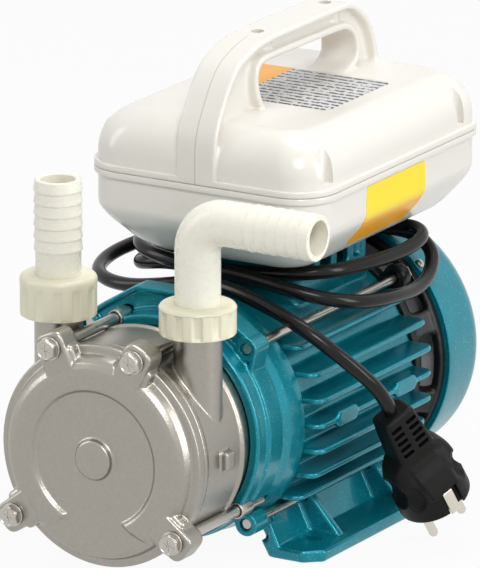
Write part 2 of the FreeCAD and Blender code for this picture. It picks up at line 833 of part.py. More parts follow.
def quarter_bend(label, radius):
    """A quarter of a round ring that turns the elbow from upright to +X."""
    bend = new("Part::Torus", label)
    bind(bend, "Radius1", size.elbow_bend_radius)
    bind(bend, "Radius2", radius)
    bend.Angle1 = -180
    bend.Angle2 = 180
    bend.Angle3 = 90
    turn = Rotation(Vector(1, 0, 0), 90)
    turn = Rotation(Vector(0, 1, 0), -90).multiply(turn)
    centre = [elbow_x, size.port_along, bend_start]
    bend.Placement = Placement(Vector(*[c.value for c in centre]), turn)
    for letter, coordinate in zip("xyz", centre):
        bend.setExpression(f"Placement.Base.{letter}", coordinate.formula)
    return bend


arm = new("PartDesign::Body", "elbow_arm")
arm_barb_start = size.elbow_end - 6 * size.barb_pitch
arm_profile = [(elbow_x, 0), (elbow_x, size.tail_radius), (arm_barb_start - 0.4, size.tail_radius)]
arm_profile += barbs(arm_barb_start, 6, size.barb_pitch)
arm_profile += [(size.elbow_end, size.tail_radius - 0.6), (size.elbow_end, 0)]
arm_sketch = sketch_on(arm, "XZ_Plane", arm_profile, "elbow_arm_profile")
arm_turn = arm.newObject("PartDesign::Revolution", "elbow_arm_turn")
arm_turn.Profile = arm_sketch
arm_turn.ReferenceAxis = (arm_sketch, ["H_Axis"])
place(arm, (0, size.port_along, size.elbow_axis_height))
elbow_bores = [
    rod("elbow_bore_up", tail_bore, (size.port_across, size.port_along, tail_flange_bottoms["right"] - 1),
        bend_start - tail_flange_bottoms["right"] + 1, "z"),
    quarter_bend("elbow_bore_bend", tail_bore),
    rod("elbow_bore_out", tail_bore, (elbow_x, size.port_along, size.elbow_axis_height),
        size.elbow_end - elbow_x + 1, "x"),
]
kept(cut("hose_elbow", joined("elbow_solid", [elbow_riser, quarter_bend("elbow_bend", size.tail_radius), arm]),
         elbow_bores))

# Front bracket: the ring that holds the pump, a lugged flange and the bell down to the housing
bracket_turned = turned("bracket_turned", [
    (size.ring_front, size.ring_inner_radius),
    (size.ring_front, size.ring_outer_radius),
    (size.flange_front, size.ring_outer_radius),
    (size.flange_front, size.flange_radius),
    (flange_rear, size.flange_radius),
    (size.bell_rear, size.bell_radius),
    (size.housing_front, size.bell_radius),
    (size.housing_front, size.register_radius - size.running_clearance),
    (size.housing_front + size.register_depth, size.register_radius - size.running_clearance),
    (size.housing_front + size.register_depth, size.register_radius - 3),
    (size.front_bearing_front + size.front_bearing_width + 1, size.register_radius - 3),
    (size.front_bearing_front + size.front_bearing_width + 1, size.front_bearing_radius + size.running_clearance),
    (size.front_bearing_front, size.front_bearing_radius + size.running_clearance),
    (size.front_bearing_front, size.front_bearing_bore + 1),
    (size.front_bearing_front - size.bearing_seat_wall, size.front_bearing_bore + 1),
    (size.front_bearing_front - size.bearing_seat_wall, size.ring_inner_radius - size.bracket_web),
    (size.flange_front, size.ring_inner_radius - size.bracket_web),
    (size.flange_front, size.ring_inner_radius),
])
upper_flange = prism("flange_upper", "XZ", [
    (-size.upper_bolt_across + 5.2, size.upper_bolt_height + 15.4),
    (size.upper_bolt_across - 5.2, size.upper_bolt_height + 15.4),
    (size.upper_bolt_across + 12.8, size.upper_bolt_height + 4.4),
    (size.tie_across + 7, size.tie_across + 2),
    (size.tie_across + 3, size.tie_across - 13),
    (30, 30),
    (-30, 30),
    (-size.tie_across - 3, size.tie_across - 13),
    (-size.tie_across - 7, size.tie_across + 2),
    (-size.upper_bolt_across - 12.8, size.upper_bolt_height + 4.4),
], size.flange_front, flange_rear, SHAFT_LINE)
lower_flange = prism("flange_lower", "XZ", [
    (size.lower_bolt_across + 6.3, size.lower_bolt_height + 9.7),
    (size.lower_bolt_across + 12.7, size.lower_bolt_height - 0.3),
    (size.tie_across + 11, -size.tie_across + 0.5),
    (size.tie_across, -size.tie_across - 7),
    (size.tie_across - 12, -size.tie_across - 2),
    (30, -30),
    (-30, -30),
    (-size.tie_across + 12, -size.tie_across - 2),
    (-size.tie_across, -size.tie_across - 7),
    (-size.tie_across - 11, -size.tie_across + 0.5),
    (-size.lower_bolt_across - 12.7, size.lower_bolt_height - 0.3),
    (-size.lower_bolt_across - 6.3, size.lower_bolt_height + 9.7),
], size.flange_front, flange_rear, SHAFT_LINE)
flange_opening = ring("flange_opening", size.flange_front - 1, flange_rear + 20, 0, size.ring_inner_radius - 4)
lugged = joined("flange_plate", [
    cut("flange_lugs", joined("flange_lug_blocks", [upper_flange, lower_flange]), [flange_opening]), bracket_turned,
])
bracket_holes = [
    rod(f"flange_bolt_hole_{i}", bolt_hole_radius, (x, size.ring_front - 1, z),
        size.housing_front - size.ring_front - 1.5)
    for i, (x, z) in enumerate(bolt_places)
]
tie_hole_radius = size.tie_radius + size.loose_clearance
bracket_holes += [
    rod(f"standoff_pocket_{i}", size.standoff_radius + size.loose_clearance, (x, size.ring_front - 1, z),
        size.flange_front - size.ring_front + 1)
    for i, (x, z) in enumerate(bolt_places)
]
bracket_holes += [
    rod(f"flange_tie_hole_{i}", tie_hole_radius, (x, size.flange_front - 1, z), size.bracket_depth + 8.4)
    for i, (x, z) in enumerate(tie_places)
]
kept(cut("front_bracket", lugged, bracket_holes))

# Shaft, bearings and wave washer
front_bearing_rear = size.front_bearing_front + size.front_bearing_width
rear_bearing_rear = size.rear_bearing_front + size.rear_bearing_width
shaft_blank = turned("shaft_blank", [
    (size.shaft_front, 0),
    (size.shaft_front, size.shaft_seal_radius),
    (size.seal_seat_rear + 4, size.shaft_seal_radius),
    (size.seal_seat_rear + 4, size.front_bearing_bore),
    (front_bearing_rear, size.front_bearing_bore),
    (front_bearing_rear, size.shaft_mid_radius),
    (size.rear_bearing_front, size.shaft_mid_radius),
    (size.rear_bearing_front, size.rear_bearing_bore),
    (size.shaft_rear, size.rear_bearing_bore),
    (size.shaft_rear, 0),
])
shaft_keyway = block("shaft_keyway", (-2, size.impeller_front + 1, size.shaft_height + size.shaft_seal_radius - 1.5),
                     (2, size.impeller_rear + 3, size.shaft_height + size.shaft_seal_radius + 2))
kept(cut("shaft", shaft_blank, [shaft_keyway]))
kept(ring("slinger_ring", size.front_bearing_front - size.slinger_gap - size.slinger_thickness,
          size.front_bearing_front - size.slinger_gap, size.front_bearing_bore + size.running_clearance,
          size.slinger_radius))
kept(ring("front_bearing", size.front_bearing_front, front_bearing_rear,
          size.front_bearing_bore + size.running_clearance, size.front_bearing_radius))
kept(ring("rear_bearing", size.rear_bearing_front, rear_bearing_rear,
          size.rear_bearing_bore + size.running_clearance, size.rear_bearing_radius))
kept(ring("wave_washer", rear_bearing_rear, rear_bearing_rear + size.wave_washer_thickness, size.rear_bearing_radius - 4,
          size.rear_bearing_radius - 0.5))

# Rotor, stator and windings
kept(ring("rotor_core", size.rotor_front, size.rotor_rear, size.shaft_mid_radius, size.rotor_radius))
stator_bore = size.rotor_radius + size.air_gap
kept(ring("stator_core", size.rotor_front, size.rotor_rear, stator_bore, size.stator_radius))
kept(group("stator_windings", [
    ring("winding_front", size.rotor_front - size.winding_overhang, size.rotor_front, size.winding_inner_radius,
         size.winding_outer_radius),
    ring("winding_rear", size.rotor_rear, size.rotor_rear + size.winding_overhang, size.winding_inner_radius,
         size.winding_outer_radius),
]))

# Motor housing: a bored barrel with flat fins, cast feet and the neck that carries the switch box
barrel = turned("housing_barrel", [
    (size.housing_front, size.register_radius),
    (size.housing_front, size.housing_radius),
    (size.housing_rear, size.housing_radius),
    (size.housing_rear, size.register_radius),
    (size.housing_rear - size.register_depth - 1, size.register_radius),
    (size.housing_rear - size.register_depth - 1, size.stator_radius),
    (size.housing_front + size.register_depth + 1, size.stator_radius),
    (size.housing_front + size.register_depth + 1, size.register_radius),
])
fin_reaches = (size.fin_reach_wide, size.fin_reach_wide, size.fin_reach_third, size.fin_reach_fourth)
housing_parts = [barrel]
for level in range(-3, 4):
    reach = fin_reaches[abs(level)]
    middle = size.shaft_height + level * size.fin_pitch
    housing_parts.append(prism(f"fin_{level + 3}", "XY", [
        (-reach, size.housing_front + size.fin_corner_length),
        (-reach + size.fin_corner_width, size.housing_front),
        (reach - size.fin_corner_width, size.housing_front),
        (reach, size.housing_front + size.fin_corner_length),
        (reach, size.housing_rear - size.fin_corner_length),
        (reach - size.fin_corner_width, size.housing_rear),
        (-reach + size.fin_corner_width, size.housing_rear),
        (-reach, size.housing_rear - size.fin_corner_length),
    ], middle - size.fin_thickness / 2, middle + size.fin_thickness / 2))
leg_middle = (size.leg_top_inner + size.leg_top_outer) / 2
leg_half = (size.leg_top_outer - size.leg_top_inner) / 2
for sign in (-1, 1):
    name = "right" if sign > 0 else "left"
    foot_corners = [
        (sign * size.foot_inner, 0), (sign * size.foot_outer, 0), (sign * size.foot_outer, size.foot_thickness),
        (sign * (size.foot_inner + 3), size.foot_thickness), (sign * size.leg_top_outer, size.leg_top_height),
        (sign * size.leg_top_inner, size.leg_top_height),
    ]
    housing_parts.append(prism(f"foot_{name}", "XZ", foot_corners, size.housing_front, size.housing_rear))
    housing_parts.append(prism(f"pad_{name}", "XZ", [
        (sign * size.foot_inner, 0), (sign * size.foot_outer, 0), (sign * size.foot_outer, size.foot_thickness),
        (sign * (size.foot_inner - 4), size.foot_thickness),
    ], -size.foot_half_length, size.foot_half_length))
    for end in (-1, 1):
        middle = end * size.gusset_along
        housing_parts.append(prism(f"gusset_{name}_{end + 1}", "XZ", [
            (sign * (size.foot_inner + 1), size.foot_thickness - 1),
            (sign * (size.foot_outer - 5), size.foot_thickness - 1),
            (sign * (size.leg_top_outer + 2), size.leg_top_height + 8),
            (sign * (size.leg_top_inner + 3), size.leg_top_height),
        ], middle - size.gusset_thickness / 2, middle + size.gusset_thickness / 2))
    housing_parts.append(block(
        f"leg_{name}",
        (leg_middle * sign - leg_half, size.housing_front, size.leg_top_height - 1),
        (leg_middle * sign + leg_half, size.housing_rear, size.leg_top_height + size.leg_overlap),
    ))
keel = block(
    "keel",
    (-size.keel_half_width, size.housing_front + size.keel_end, size.barrel_bottom - size.keel_half_height),
    (size.keel_half_width, size.housing_rear - size.keel_end, size.barrel_bottom + size.keel_half_height),
)
neck_solid = block("neck_solid", (-size.neck_half_width, size.neck_front, size.barrel_top - 18),
                   (size.neck_half_width, size.neck_rear, size.hull_bottom))
housing_parts += [keel, neck_solid]
neck_inner = size.neck_half_width - size.neck_wall
box_screw_places = [
    (side * (size.neck_half_width - size.neck_boss_radius - 1), along)
    for side in (-1, 1)
    for along in (size.neck_front + size.neck_boss_radius + 1, size.neck_rear - size.neck_boss_radius - 1)
]
neck_hollow = cut("neck_hollow", block(
    "neck_hollow_block", (-neck_inner, size.neck_front + size.neck_wall, size.barrel_top - 1),
    (neck_inner, size.neck_rear - size.neck_wall, size.hull_bottom + 1),
), [
    rod(f"neck_boss_{i}", size.neck_boss_radius, (x, y, size.barrel_top - 2), size.hull_bottom - size.barrel_top + 4, "z")
    for i, (x, y) in enumerate(box_screw_places)
])
neck_slots = []
slot_pitch = size.neck_slot_pitch
for side in (-1, 1):
    for i in range(5):
        along = size.neck_front + 10 + slot_pitch * i
        middle_x = side * size.neck_half_width
        neck_slots.append(block(
            f"neck_slot_{side}_{i}", (middle_x - size.neck_wall * 1.5, along, size.barrel_top + 2),
            (middle_x + size.neck_wall * 1.5, along + slot_pitch / 2, size.hull_bottom - 3),
        ))
housing_cuts = [
    ring("housing_hollow", size.housing_front - 10, size.housing_rear + 25, 0, size.stator_radius),
    ring("housing_register_front", size.housing_front - 10, size.housing_front + size.register_depth + 1, 0,
         size.register_radius),
    ring("housing_register_rear", size.housing_rear - size.register_depth - 1, size.housing_rear + 25, 0,
         size.register_radius),
    neck_hollow,
] + neck_slots
housing_cuts += [
    rod(f"neck_screw_hole_{i}", size.box_screw_radius, (x, y, size.hull_bottom - 12), 14, "z")
    for i, (x, y) in enumerate(box_screw_places)
]
housing_cuts += [
    rod(f"housing_tie_way_{i}", tie_hole_radius + 0.4, (x, size.housing_front - 15, z),
        size.housing_rear - size.housing_front + 30)
    for i, (x, z) in enumerate(tie_places)
]
for x in (-1, 1):
    for y in (-1, 1):
        place_x = x * size.foot_hole_across / 2
        place_y = y * size.foot_hole_along / 2
        half_slot = size.foot_slot_length / 2 - size.foot_hole_radius
        housing_cuts.append(block(f"foot_slot_{x}_{y}", (place_x - half_slot, place_y - size.foot_hole_radius, -1),
                                  (place_x + half_slot, place_y + size.foot_hole_radius, size.foot_thickness + 4)))
        for end in (-1, 1):
            housing_cuts.append(rod(f"foot_slot_end_{x}_{y}_{end}", size.foot_hole_radius,
                                    (place_x + end * half_slot, place_y, -1), size.foot_thickness + 5, "z"))
kept(cut("motor_housing", joined("housing_solid", housing_parts), housing_cuts))

# Rear bracket with its bearing seat, lugs, spokes and the ring that carries the fan cover
bracket_rear = size.housing_rear + size.rear_bracket_thickness
rear_plate = turned("rear_plate", [
    (size.housing_rear - size.register_depth, size.register_radius - size.running_clearance),
    (size.housing_rear, size.register_radius - size.running_clearance),
    (size.housing_rear, size.housing_radius + size.rear_plate_edge),
    (bracket_rear, size.housing_radius + size.rear_plate_edge),
    (bracket_rear, size.rear_bearing_radius + size.bearing_seat_wall),
    (rear_bearing_rear + 4, size.rear_bearing_radius + size.bearing_seat_wall),
    (rear_bearing_rear + 4, size.rear_bearing_bore + 1),
    (rear_bearing_rear + 1, size.rear_bearing_bore + 1),
    (rear_bearing_rear + 1, size.rear_bearing_radius + size.running_clearance),
    (size.rear_bearing_front, size.rear_bearing_radius + size.running_clearance),
    (size.rear_bearing_front, size.rear_bearing_radius + size.bearing_seat_wall),
    (size.housing_rear, size.rear_bearing_radius + size.bearing_seat_wall),
    (size.housing_rear, size.register_radius - 4),
    (size.housing_rear - size.register_depth, size.register_radius - 4),
])
rear_parts = [rear_plate, ring("rear_ring", size.rear_ring_front, size.rear_ring_rear, size.rear_ring_inner,
                               size.rear_ring_radius)]
rear_parts += [
    rod(f"rear_lug_{i}", size.rear_lug_radius, (x, size.housing_rear, z), size.rear_lug_length)
    for i, (x, z) in enumerate(tie_places)
]
for i in range(4):
    heading = math.radians(20 + 90 * i if i % 2 == 0 else 70 + 90 * i)
    reach = size.rear_ring_radius - size.spoke_radius - 1
    rear_parts.append(rod(
        f"rear_spoke_{i}", size.spoke_radius,
        (reach * math.cos(heading), bracket_rear - 3, size.shaft_height + reach * math.sin(heading)),
        size.rear_ring_rear - bracket_rear + 2,
    ))
rear_holes = [
    rod(f"rear_tie_hole_{i}", tie_hole_radius, (x, size.housing_rear - 1, z), 9)
    for i, (x, z) in enumerate(tie_places)
]
kept(cut("rear_bracket", joined("rear_solid", rear_parts), rear_holes))

# Tie rods through the lugs, with nuts at the rear
tie_rear = size.housing_rear + size.rear_lug_length
kept(group("tie_rods", [
    rod(f"tie_rod_{i}", size.tie_radius, (x, size.flange_front + 1, z),
        tie_rear - size.flange_front + size.tie_nut_height)
    for i, (x, z) in enumerate(tie_places)
]))
kept(group("tie_rod_nuts", [
    cut(f"tie_nut_{i}", hexagon(f"tie_nut_blank_{i}", size.tie_nut_across_flats, (x, tie_rear, z), size.tie_nut_height),
        [rod(f"tie_nut_bore_{i}", size.tie_radius, (x, tie_rear - 1, z), size.tie_nut_height + 2)])
    for i, (x, z) in enumerate(tie_places)
]))

# Cooling fan
fan_parts = [ring("fan_hub", size.fan_front, size.fan_rear, size.rear_bearing_bore, size.fan_hub_radius),
             ring("fan_disc", size.fan_front, size.fan_front + 2, size.fan_hub_radius - 1, size.fan_radius)]
for i in range(3):
    blades = new("Part::Box", f"fan_blade_{i}")
    bind(blades, "Length", size.fan_radius * 2 - 2)
    bind(blades, "Width", size.fan_rear - size.fan_front - 2)
    bind(blades, "Height", 2)
    turn = Rotation(Vector(0, 1, 0), 60 * i)
    corner = turn.multVec(Vector(-size.fan_radius.value + 1, 0, -1))
    blades.Placement = Placement(corner, turn)
    blades.setExpression("Placement.Base.x", f"(1 - Sizes.fan_radius) * cos({60 * i} * 1 deg) - sin({60 * i} * 1 deg)")
    blades.setExpression("Placement.Base.y", "Sizes.fan_front")
    blades.setExpression("Placement.Base.z", f"Sizes.shaft_height + (Sizes.fan_radius - 1) * sin({60 * i} * 1 deg)"
                                             f" - cos({60 * i} * 1 deg)")
    fan_parts.append(blades)
kept(cut("fan", joined("fan_solid", fan_parts), [ring("fan_bore", size.fan_front - 1, size.fan_rear + 1, 0,
                                                        size.rear_bearing_bore)]))

# Fan cover: a dished sheet cap with a rolled lip and slots in its back
wall = size.fan_cover_wall
cover_shell = turned("fan_cover_shell", [
    (size.fan_cover_front, size.rear_ring_radius),
    (size.fan_cover_front, size.fan_cover_lip_radius),
    (size.fan_cover_front + 5, size.fan_cover_lip_radius),
    (size.fan_cover_front + 6, size.fan_cover_radius),
    (size.fan_cover_shoulder - 8, size.fan_cover_radius - 0.5),
    (size.fan_cover_shoulder, size.fan_cover_radius - 2),
    (size.fan_cover_rear - 4, size.fan_cover_radius - 8),
    (size.fan_cover_rear - 1, size.fan_cover_radius - 14),
    (size.fan_cover_rear, size.fan_cover_radius - 20),
    (size.fan_cover_rear, 0),
    (size.fan_cover_rear - wall, 0),
    (size.fan_cover_rear - wall, size.fan_cover_radius - 20),
    (size.fan_cover_rear - 1 - wall, size.fan_cover_radius - 14.5),
    (size.fan_cover_rear - 5 - wall, size.fan_cover_radius - 9),
    (size.fan_cover_shoulder - 1, size.fan_cover_radius - 2 - wall),
    (size.fan_cover_shoulder - 8, size.fan_cover_radius - 0.5 - wall),
    (size.rear_ring_rear + 0.2, size.rear_ring_radius),
])
grille = []
grille_count = 9
grille_radius = size.fan_cover_radius - size.grille_margin
for i in range(grille_count):
    step = (i - (grille_count - 1) / 2) * 9 / 44
    offset = grille_radius * step
    half = grille_radius * math.sqrt(1 - step ** 2)
    grille.append(block(f"grille_slot_{i}", (-half, size.fan_cover_rear - 4, size.shaft_height + offset - 2.4),
                        (half, size.fan_cover_rear + 1, size.shaft_height + offset + 2.4)))
kept(cut("fan_cover", cover_shell, grille))
screw_places = [(x, z) for x in (-1, 1) for z in (-1, 1)]
cover_screws = []
for i, (x, z) in enumerate(screw_places):
    screw = new("Part::Cylinder", f"fan_cover_screw_{i}")
    bind(screw, "Radius", size.cover_screw_radius)
    bind(screw, "Height", size.cover_screw_height)
    direction = Vector(x, 0, z).normalize()
    screw.Placement = Placement(Vector(), Rotation(Vector(0, 0, 1), direction))
    share = repr(round(math.sqrt(0.5), 6))
    screw.setExpression("Placement.Base.x", f"{x} * {share} * Sizes.fan_cover_lip_radius")
    screw.setExpression("Placement.Base.y", "Sizes.fan_cover_front + 2.7")
    screw.setExpression("Placement.Base.z", f"Sizes.shaft_height + {z} * {share} * Sizes.fan_cover_lip_radius")
    cover_screws.append(screw)
kept(group("fan_cover_screws", cover_screws))


def rounded_wire(half_width, front, rear, corner, height):
    """A rounded rectangle in a level plane."""
    arc_middle = corner * (1 - math.sqrt(0.5))
    left, right = -half_width, half_width
    spots = [
        ((right, front + corner), (right, rear - corner)),
        ((right - corner, rear), (left + corner, rear)),
        ((left, rear - corner), (left, front + corner)),
        ((left + corner, front), (right - corner, front)),
    ]
    middles = [
        (right - arc_middle, rear - arc_middle), (left + arc_middle, rear - arc_middle),
        (left + arc_middle, front + arc_middle), (right - arc_middle, front + arc_middle),
    ]
    edges = []
    for index, (start, end) in enumerate(spots):
        following = spots[(index + 1) % 4][0]
        edges.append(Part.LineSegment(Vector(*start, height), Vector(*end, height)).toShape())
        edges.append(Part.Arc(Vector(*end, height), Vector(*middles[index], height),
                              Vector(*following, height)).toShape())
    return Part.Wire(edges)


def shell_loft(levels, inset=0.0, lift=0.0):
    """A loft through levels of (inset from the box wall, height), pulled in by a wall where asked."""
    wires = []
    for draw_in, front_in, rear_in, corner_in, height in levels:
        wires.append(rounded_wire(
            box.half_width - draw_in - inset, box.front + front_in + inset, box.rear - rear_in - inset,
            max(box.corner - corner_in - inset, 3), height + lift,
        ))
    return Part.makeLoft(wires, True, True)


def coded(label, shape, placement=None):
    """A piece whose shape is worked out here from the sheet's numbers."""
    feature = new("Part::Feature", label)
    feature.Shape = shape
    feature.Placement = placement or Placement()
    return feature


# Switch box: a hull-shaped lower shell and a lid with a proud rim at their seam
box = SimpleNamespace(
    half_width=size.box_half_width.value,
    front=size.box_front.value,
    rear=size.box_rear.value,
    corner=size.box_corner.value,
    wall=size.box_wall.value,
)
taper_side = (size.box_half_width - size.hull_bottom_half_width).value
taper_front = (size.hull_bottom_front - size.box_front).value
taper_rear = (size.box_rear - size.hull_bottom_rear).value
proud = size.rim_proud.value
seam = size.rim_seam.value
hull_levels = [
    (taper_side, taper_front, taper_rear, 8, size.hull_bottom.value),
    (taper_side * 0.45, taper_front * 0.45, taper_rear * 0.45, 3, size.hull_bottom.value + 9),
    (taper_side * 0.12, taper_front * 0.12, taper_rear * 0.12, 0, size.hull_fold.value - 6),
    (0, 0, 0, 0, size.hull_fold.value),
    (0, 0, 0, 0, seam),
]
lower_outer = shell_loft(hull_levels)
rim_out = (-proud,) * 4
lower_rim = shell_loft([rim_out + (size.rim_bottom.value,), rim_out + (seam,)])
lower_inner = shell_loft(hull_levels, inset=box.wall).cut(
    Part.makeBox(400, 400, box.wall, Vector(-200, -200, size.hull_bottom.value)))
rear_wall = size.box_rear.value
switch_middle = Vector(size.switch_across.value, rear_wall, (size.hull_fold.value + size.rim_bottom.value) / 2)
switch_half = (
    (size.switch_half_width + size.switch_gap).value,
    (size.switch_half_height + size.switch_gap).value,
)
switch_window = Part.makeBox(
    2 * switch_half[0], 20, 2 * switch_half[1],
    Vector(switch_middle.x - switch_half[0], rear_wall - 10, switch_middle.z - switch_half[1]))
gland_at = Vector(size.gland_across.value, size.gland_along.value, size.hull_bottom.value)
floor_holes = [Part.makeCylinder(size.gland_radius.value, 12, gland_at - Vector(0, 0, 4))]
for x, y in box_screw_places:
    floor_holes.append(Part.makeCylinder(
        size.box_screw_radius.value, 12, Vector(x.value, y.value, size.hull_bottom.value - 4)))
seal_levels = [(box.wall - 0.9,) * 3 + (0, seam - 1.5), (box.wall - 0.9,) * 3 + (0, seam + 1.5)]
seal_way = shell_loft(seal_levels)
lower_blank = lower_outer.fuse(lower_rim).cut(lower_inner).cut(switch_window).cut(seal_way)
for hole in floor_holes:
    lower_blank = lower_blank.cut(hole)
kept(coded("lower_shell", lower_blank.removeSplitter()))

lid_levels = [
    (0, 0, 0, 0, seam),
    (0, 0, 0, 0, size.rim_top.value + 4),
    (1.6, 1.6, 1.6, 0.8, size.rim_top.value + 12),
    (5.2, 5.2, 5.2, 2, size.lid_top.value - 7),
    (11, 11, 11, 4, size.lid_top.value - 2.4),
    (19, 19, 19, 8, size.lid_top.value),
]
lid_outer = shell_loft(lid_levels)
lid_rim = shell_loft([rim_out + (seam,), rim_out + (size.rim_top.value,)])
lid_inner = shell_loft(lid_levels, inset=box.wall, lift=-box.wall)
lid_shell = lid_outer.fuse(lid_rim).cut(lid_inner)

# Handle: one loop with the lid, its front leg down to the rim and its rear leg on the lid
handle_front = size.handle_front
handle_rear = size.handle_rear
handle_top = size.handle_top
grip_low = handle_top - size.grip_thickness
handle_body = prism("handle_loop", "YZ", [
    (handle_front, seam + 1), (handle_front, size.lid_top - 4), (handle_front + 3, size.lid_top + 3),
    (handle_front + 10, handle_top - 26),
    (handle_front + 20.5, handle_top - 11.5), (handle_front + 32, handle_top - 5.3),
    (handle_front + 49, handle_top - 1), (handle_front + 71, handle_top), (handle_rear - 29, handle_top),
    (handle_rear - 21, handle_top - 3.5), (handle_rear - 12.5, handle_top - 10), (handle_rear - 4, handle_top - 22),
    (handle_rear, size.lid_top), (handle_rear, size.lid_top - 2.5), (handle_rear - 36, size.lid_top - 1),
    (handle_rear - 29, size.lid_top + 2), (handle_rear - 22.5, size.lid_top + 6),
    (handle_rear - 22, size.lid_top + 13), (handle_rear - 27, grip_low - 3.5), (handle_rear - 36, grip_low - 1),
    (handle_rear - 61, grip_low), (handle_front + 58, grip_low), (handle_front + 49.3, grip_low - 1),
    (handle_front + 46, grip_low - 5), (handle_front + 46, size.lid_top + 12), (handle_front + 49.5, size.lid_top + 3),
    (handle_front + 54, size.lid_top - 1), (handle_front + 12, size.lid_top - 12),
    (handle_front + 6, seam + 1),
], -size.handle_width / 2, size.handle_width / 2)
doc.recompute()
post_depth = size.post_depth.value
post_holes = [
    Part.makeCylinder(size.post_radius.value, post_depth + 1, Vector(0, along.value, handle_top.value - post_depth))
    for along in (handle_front + 62.3, handle_rear - 36.5)
]
upper = lid_shell.fuse(handle_body.Shape).cut(lid_inner).cut(seal_way)
for hole in post_holes:
    upper = upper.cut(hole)
handle_body.Label = "handle_outline"
kept(coded("upper_shell", upper.removeSplitter()))

# What the box holds: seal, screws, capacitor, terminal block, switch and cord gland
seal_inner = shell_loft([(box.wall + 1,) * 3 + (0, seam - 2), (box.wall + 1,) * 3 + (0, seam + 2)])
kept(coded("box_gasket", seal_way.cut(seal_inner)))
floor_top = size.hull_bottom + size.box_wall
kept(group("box_screws", [
    joined(f"box_screw_{i}", [
        rod(f"box_screw_shank_{i}", size.box_screw_radius, (x, y, size.hull_bottom - size.box_screw_depth),
            size.box_wall + size.box_screw_depth, "z"),
        rod(f"box_screw_head_{i}", size.box_screw_radius * 2, (x, y, floor_top), size.box_screw_head, "z"),
    ])
    for i, (x, y) in enumerate(box_screw_places)
]))
kept(rod("capacitor", size.capacitor_radius,
         (0, size.neck_front + size.capacitor_along, floor_top + size.capacitor_radius), size.capacitor_length))
terminal_side = size.capacitor_radius + size.terminal_gap
terminal_front = size.neck_front + size.terminal_along
kept(block(
    "terminal_block",
    (terminal_side, terminal_front, floor_top),
    (terminal_side + size.terminal_width, terminal_front + size.terminal_length, floor_top + size.terminal_height),
))
wall_rear = size.box_rear
switch_z = (size.hull_fold + size.rim_bottom) / 2
switch_front = wall_rear - size.switch_depth


def switch_block(label, half_width, half_height, front, rear):
    """A block centred on the switch's place in the rear wall."""
    return block(
        label,
        (size.switch_across - half_width, front, switch_z - half_height),
        (size.switch_across + half_width, rear, switch_z + half_height),
    )


frame_solid = joined("switch_frame_solid", [
    switch_block("switch_flange", size.switch_half_width + size.switch_flange_edge,
                 size.switch_half_height + size.switch_flange_lip, wall_rear,
                 wall_rear + size.switch_flange_thickness),
    switch_block("switch_can", size.switch_half_width, size.switch_half_height, switch_front, wall_rear + 0.5),
])
pocket_half_height = size.switch_half_height - 1.4
kept(cut("switch_body", frame_solid, [
    switch_block("switch_pocket", size.switch_half_width - size.rocker_room, pocket_half_height, wall_rear - 9,
                 wall_rear + 3),
]))
rocker_half = size.switch_half_width - size.rocker_room * 2
rocker_paddle = prism("rocker_outline", "XY", [
    (-rocker_half, 1.8), (0, 0.6), (rocker_half, 3.6), (rocker_half - 0.4, -1), (3, -5), (-3, -5),
    (-rocker_half + 0.4, -2.4),
], -pocket_half_height + 0.2, pocket_half_height - 0.2, (size.switch_across, wall_rear, switch_z))
rocker_pin = rod(
    "rocker_pin", size.rocker_pin_radius,
    (size.switch_across, wall_rear - size.rocker_pin_depth, switch_z - pocket_half_height + 0.1),
    (pocket_half_height - 0.1) * 2, "z",
)
kept(joined("switch_rocker", [rocker_paddle, rocker_pin]))
kept(ring("cord_gland", size.coil_bottom + size.coil_thickness, size.hull_bottom + 8, 0, size.gland_radius - 0.1,
          (size.gland_across, size.gland_along, 0), upright=True))

# Bare rating plate on the lid and bare label on the box's right side
plate_low = size.lid_top
kept(block("rating_plate", (-size.plate_half_width, size.plate_front, plate_low),
           (size.plate_half_width, size.plate_rear, plate_low + size.plate_thickness)))
label_x = size.box_half_width
side_taper = size.box_half_width - size.hull_bottom_half_width
label_heights = (size.rim_bottom - size.label_top_gap, size.hull_fold, size.hull_fold - 6, size.hull_bottom + 9)
label_inner = [label_x, label_x, label_x - side_taper * 0.12, label_x - side_taper * 0.45]
label_corners = list(zip(label_inner, label_heights))
label_corners += [(x + size.label_thickness, z) for x, z in reversed(label_corners)]
kept(prism("side_label", "XZ", label_corners, size.label_front, size.label_rear))

# Coil: the outer shape of the turns that lie round the neck, saddle-shaped over the barrel
coil_top = size.coil_bottom + size.coil_thickness
saddle = prism("coil_saddle", "XZ", [
    (-92, coil_top - size.coil_sag), (-72, coil_top - size.coil_sag * 0.55), (-52, coil_top), (50, coil_top),
    (70, coil_top - 2), (70, size.coil_bottom - size.coil_sag), (62, size.coil_bottom - size.coil_sag),
    (42, size.coil_bottom), (-44, size.coil_bottom), (-66, size.coil_bottom - size.coil_sag),
    (-92, size.coil_bottom - size.coil_sag),
], -50, 100)
coil_half = (size.coil_right - size.coil_left).value / 2
coil_middle = (size.coil_right + size.coil_left).value / 2
coil_plan = rounded_wire(coil_half, size.coil_front.value, size.coil_rear.value, 44, 90)
coil_hole = rounded_wire((size.neck_half_width + size.coil_gap * 2).value, (size.neck_front - size.coil_gap).value,
                         (size.neck_rear + size.coil_gap).value, size.coil_hole_corner.value, 90)
coil_ring = Part.Face([coil_plan]).extrude(Vector(0, 0, 80))
coil_ring.translate(Vector(coil_middle, 0, 0))
coil_void = Part.Face([coil_hole]).extrude(Vector(0, 0, 80))
doc.recompute()
coil_shape = saddle.Shape.common(coil_ring).cut(coil_void)
for radius, start in (
    (size.rear_ring_radius, size.rear_ring_front),
    (size.fan_cover_lip_radius, size.fan_cover_front),
):
    clearance = size.loose_clearance.value * 2
    coil_shape = coil_shape.cut(Part.makeCylinder(
        radius.value + clearance, 60, Vector(0, start.value - clearance, size.shaft_height.value), Vector(0, 1, 0)))
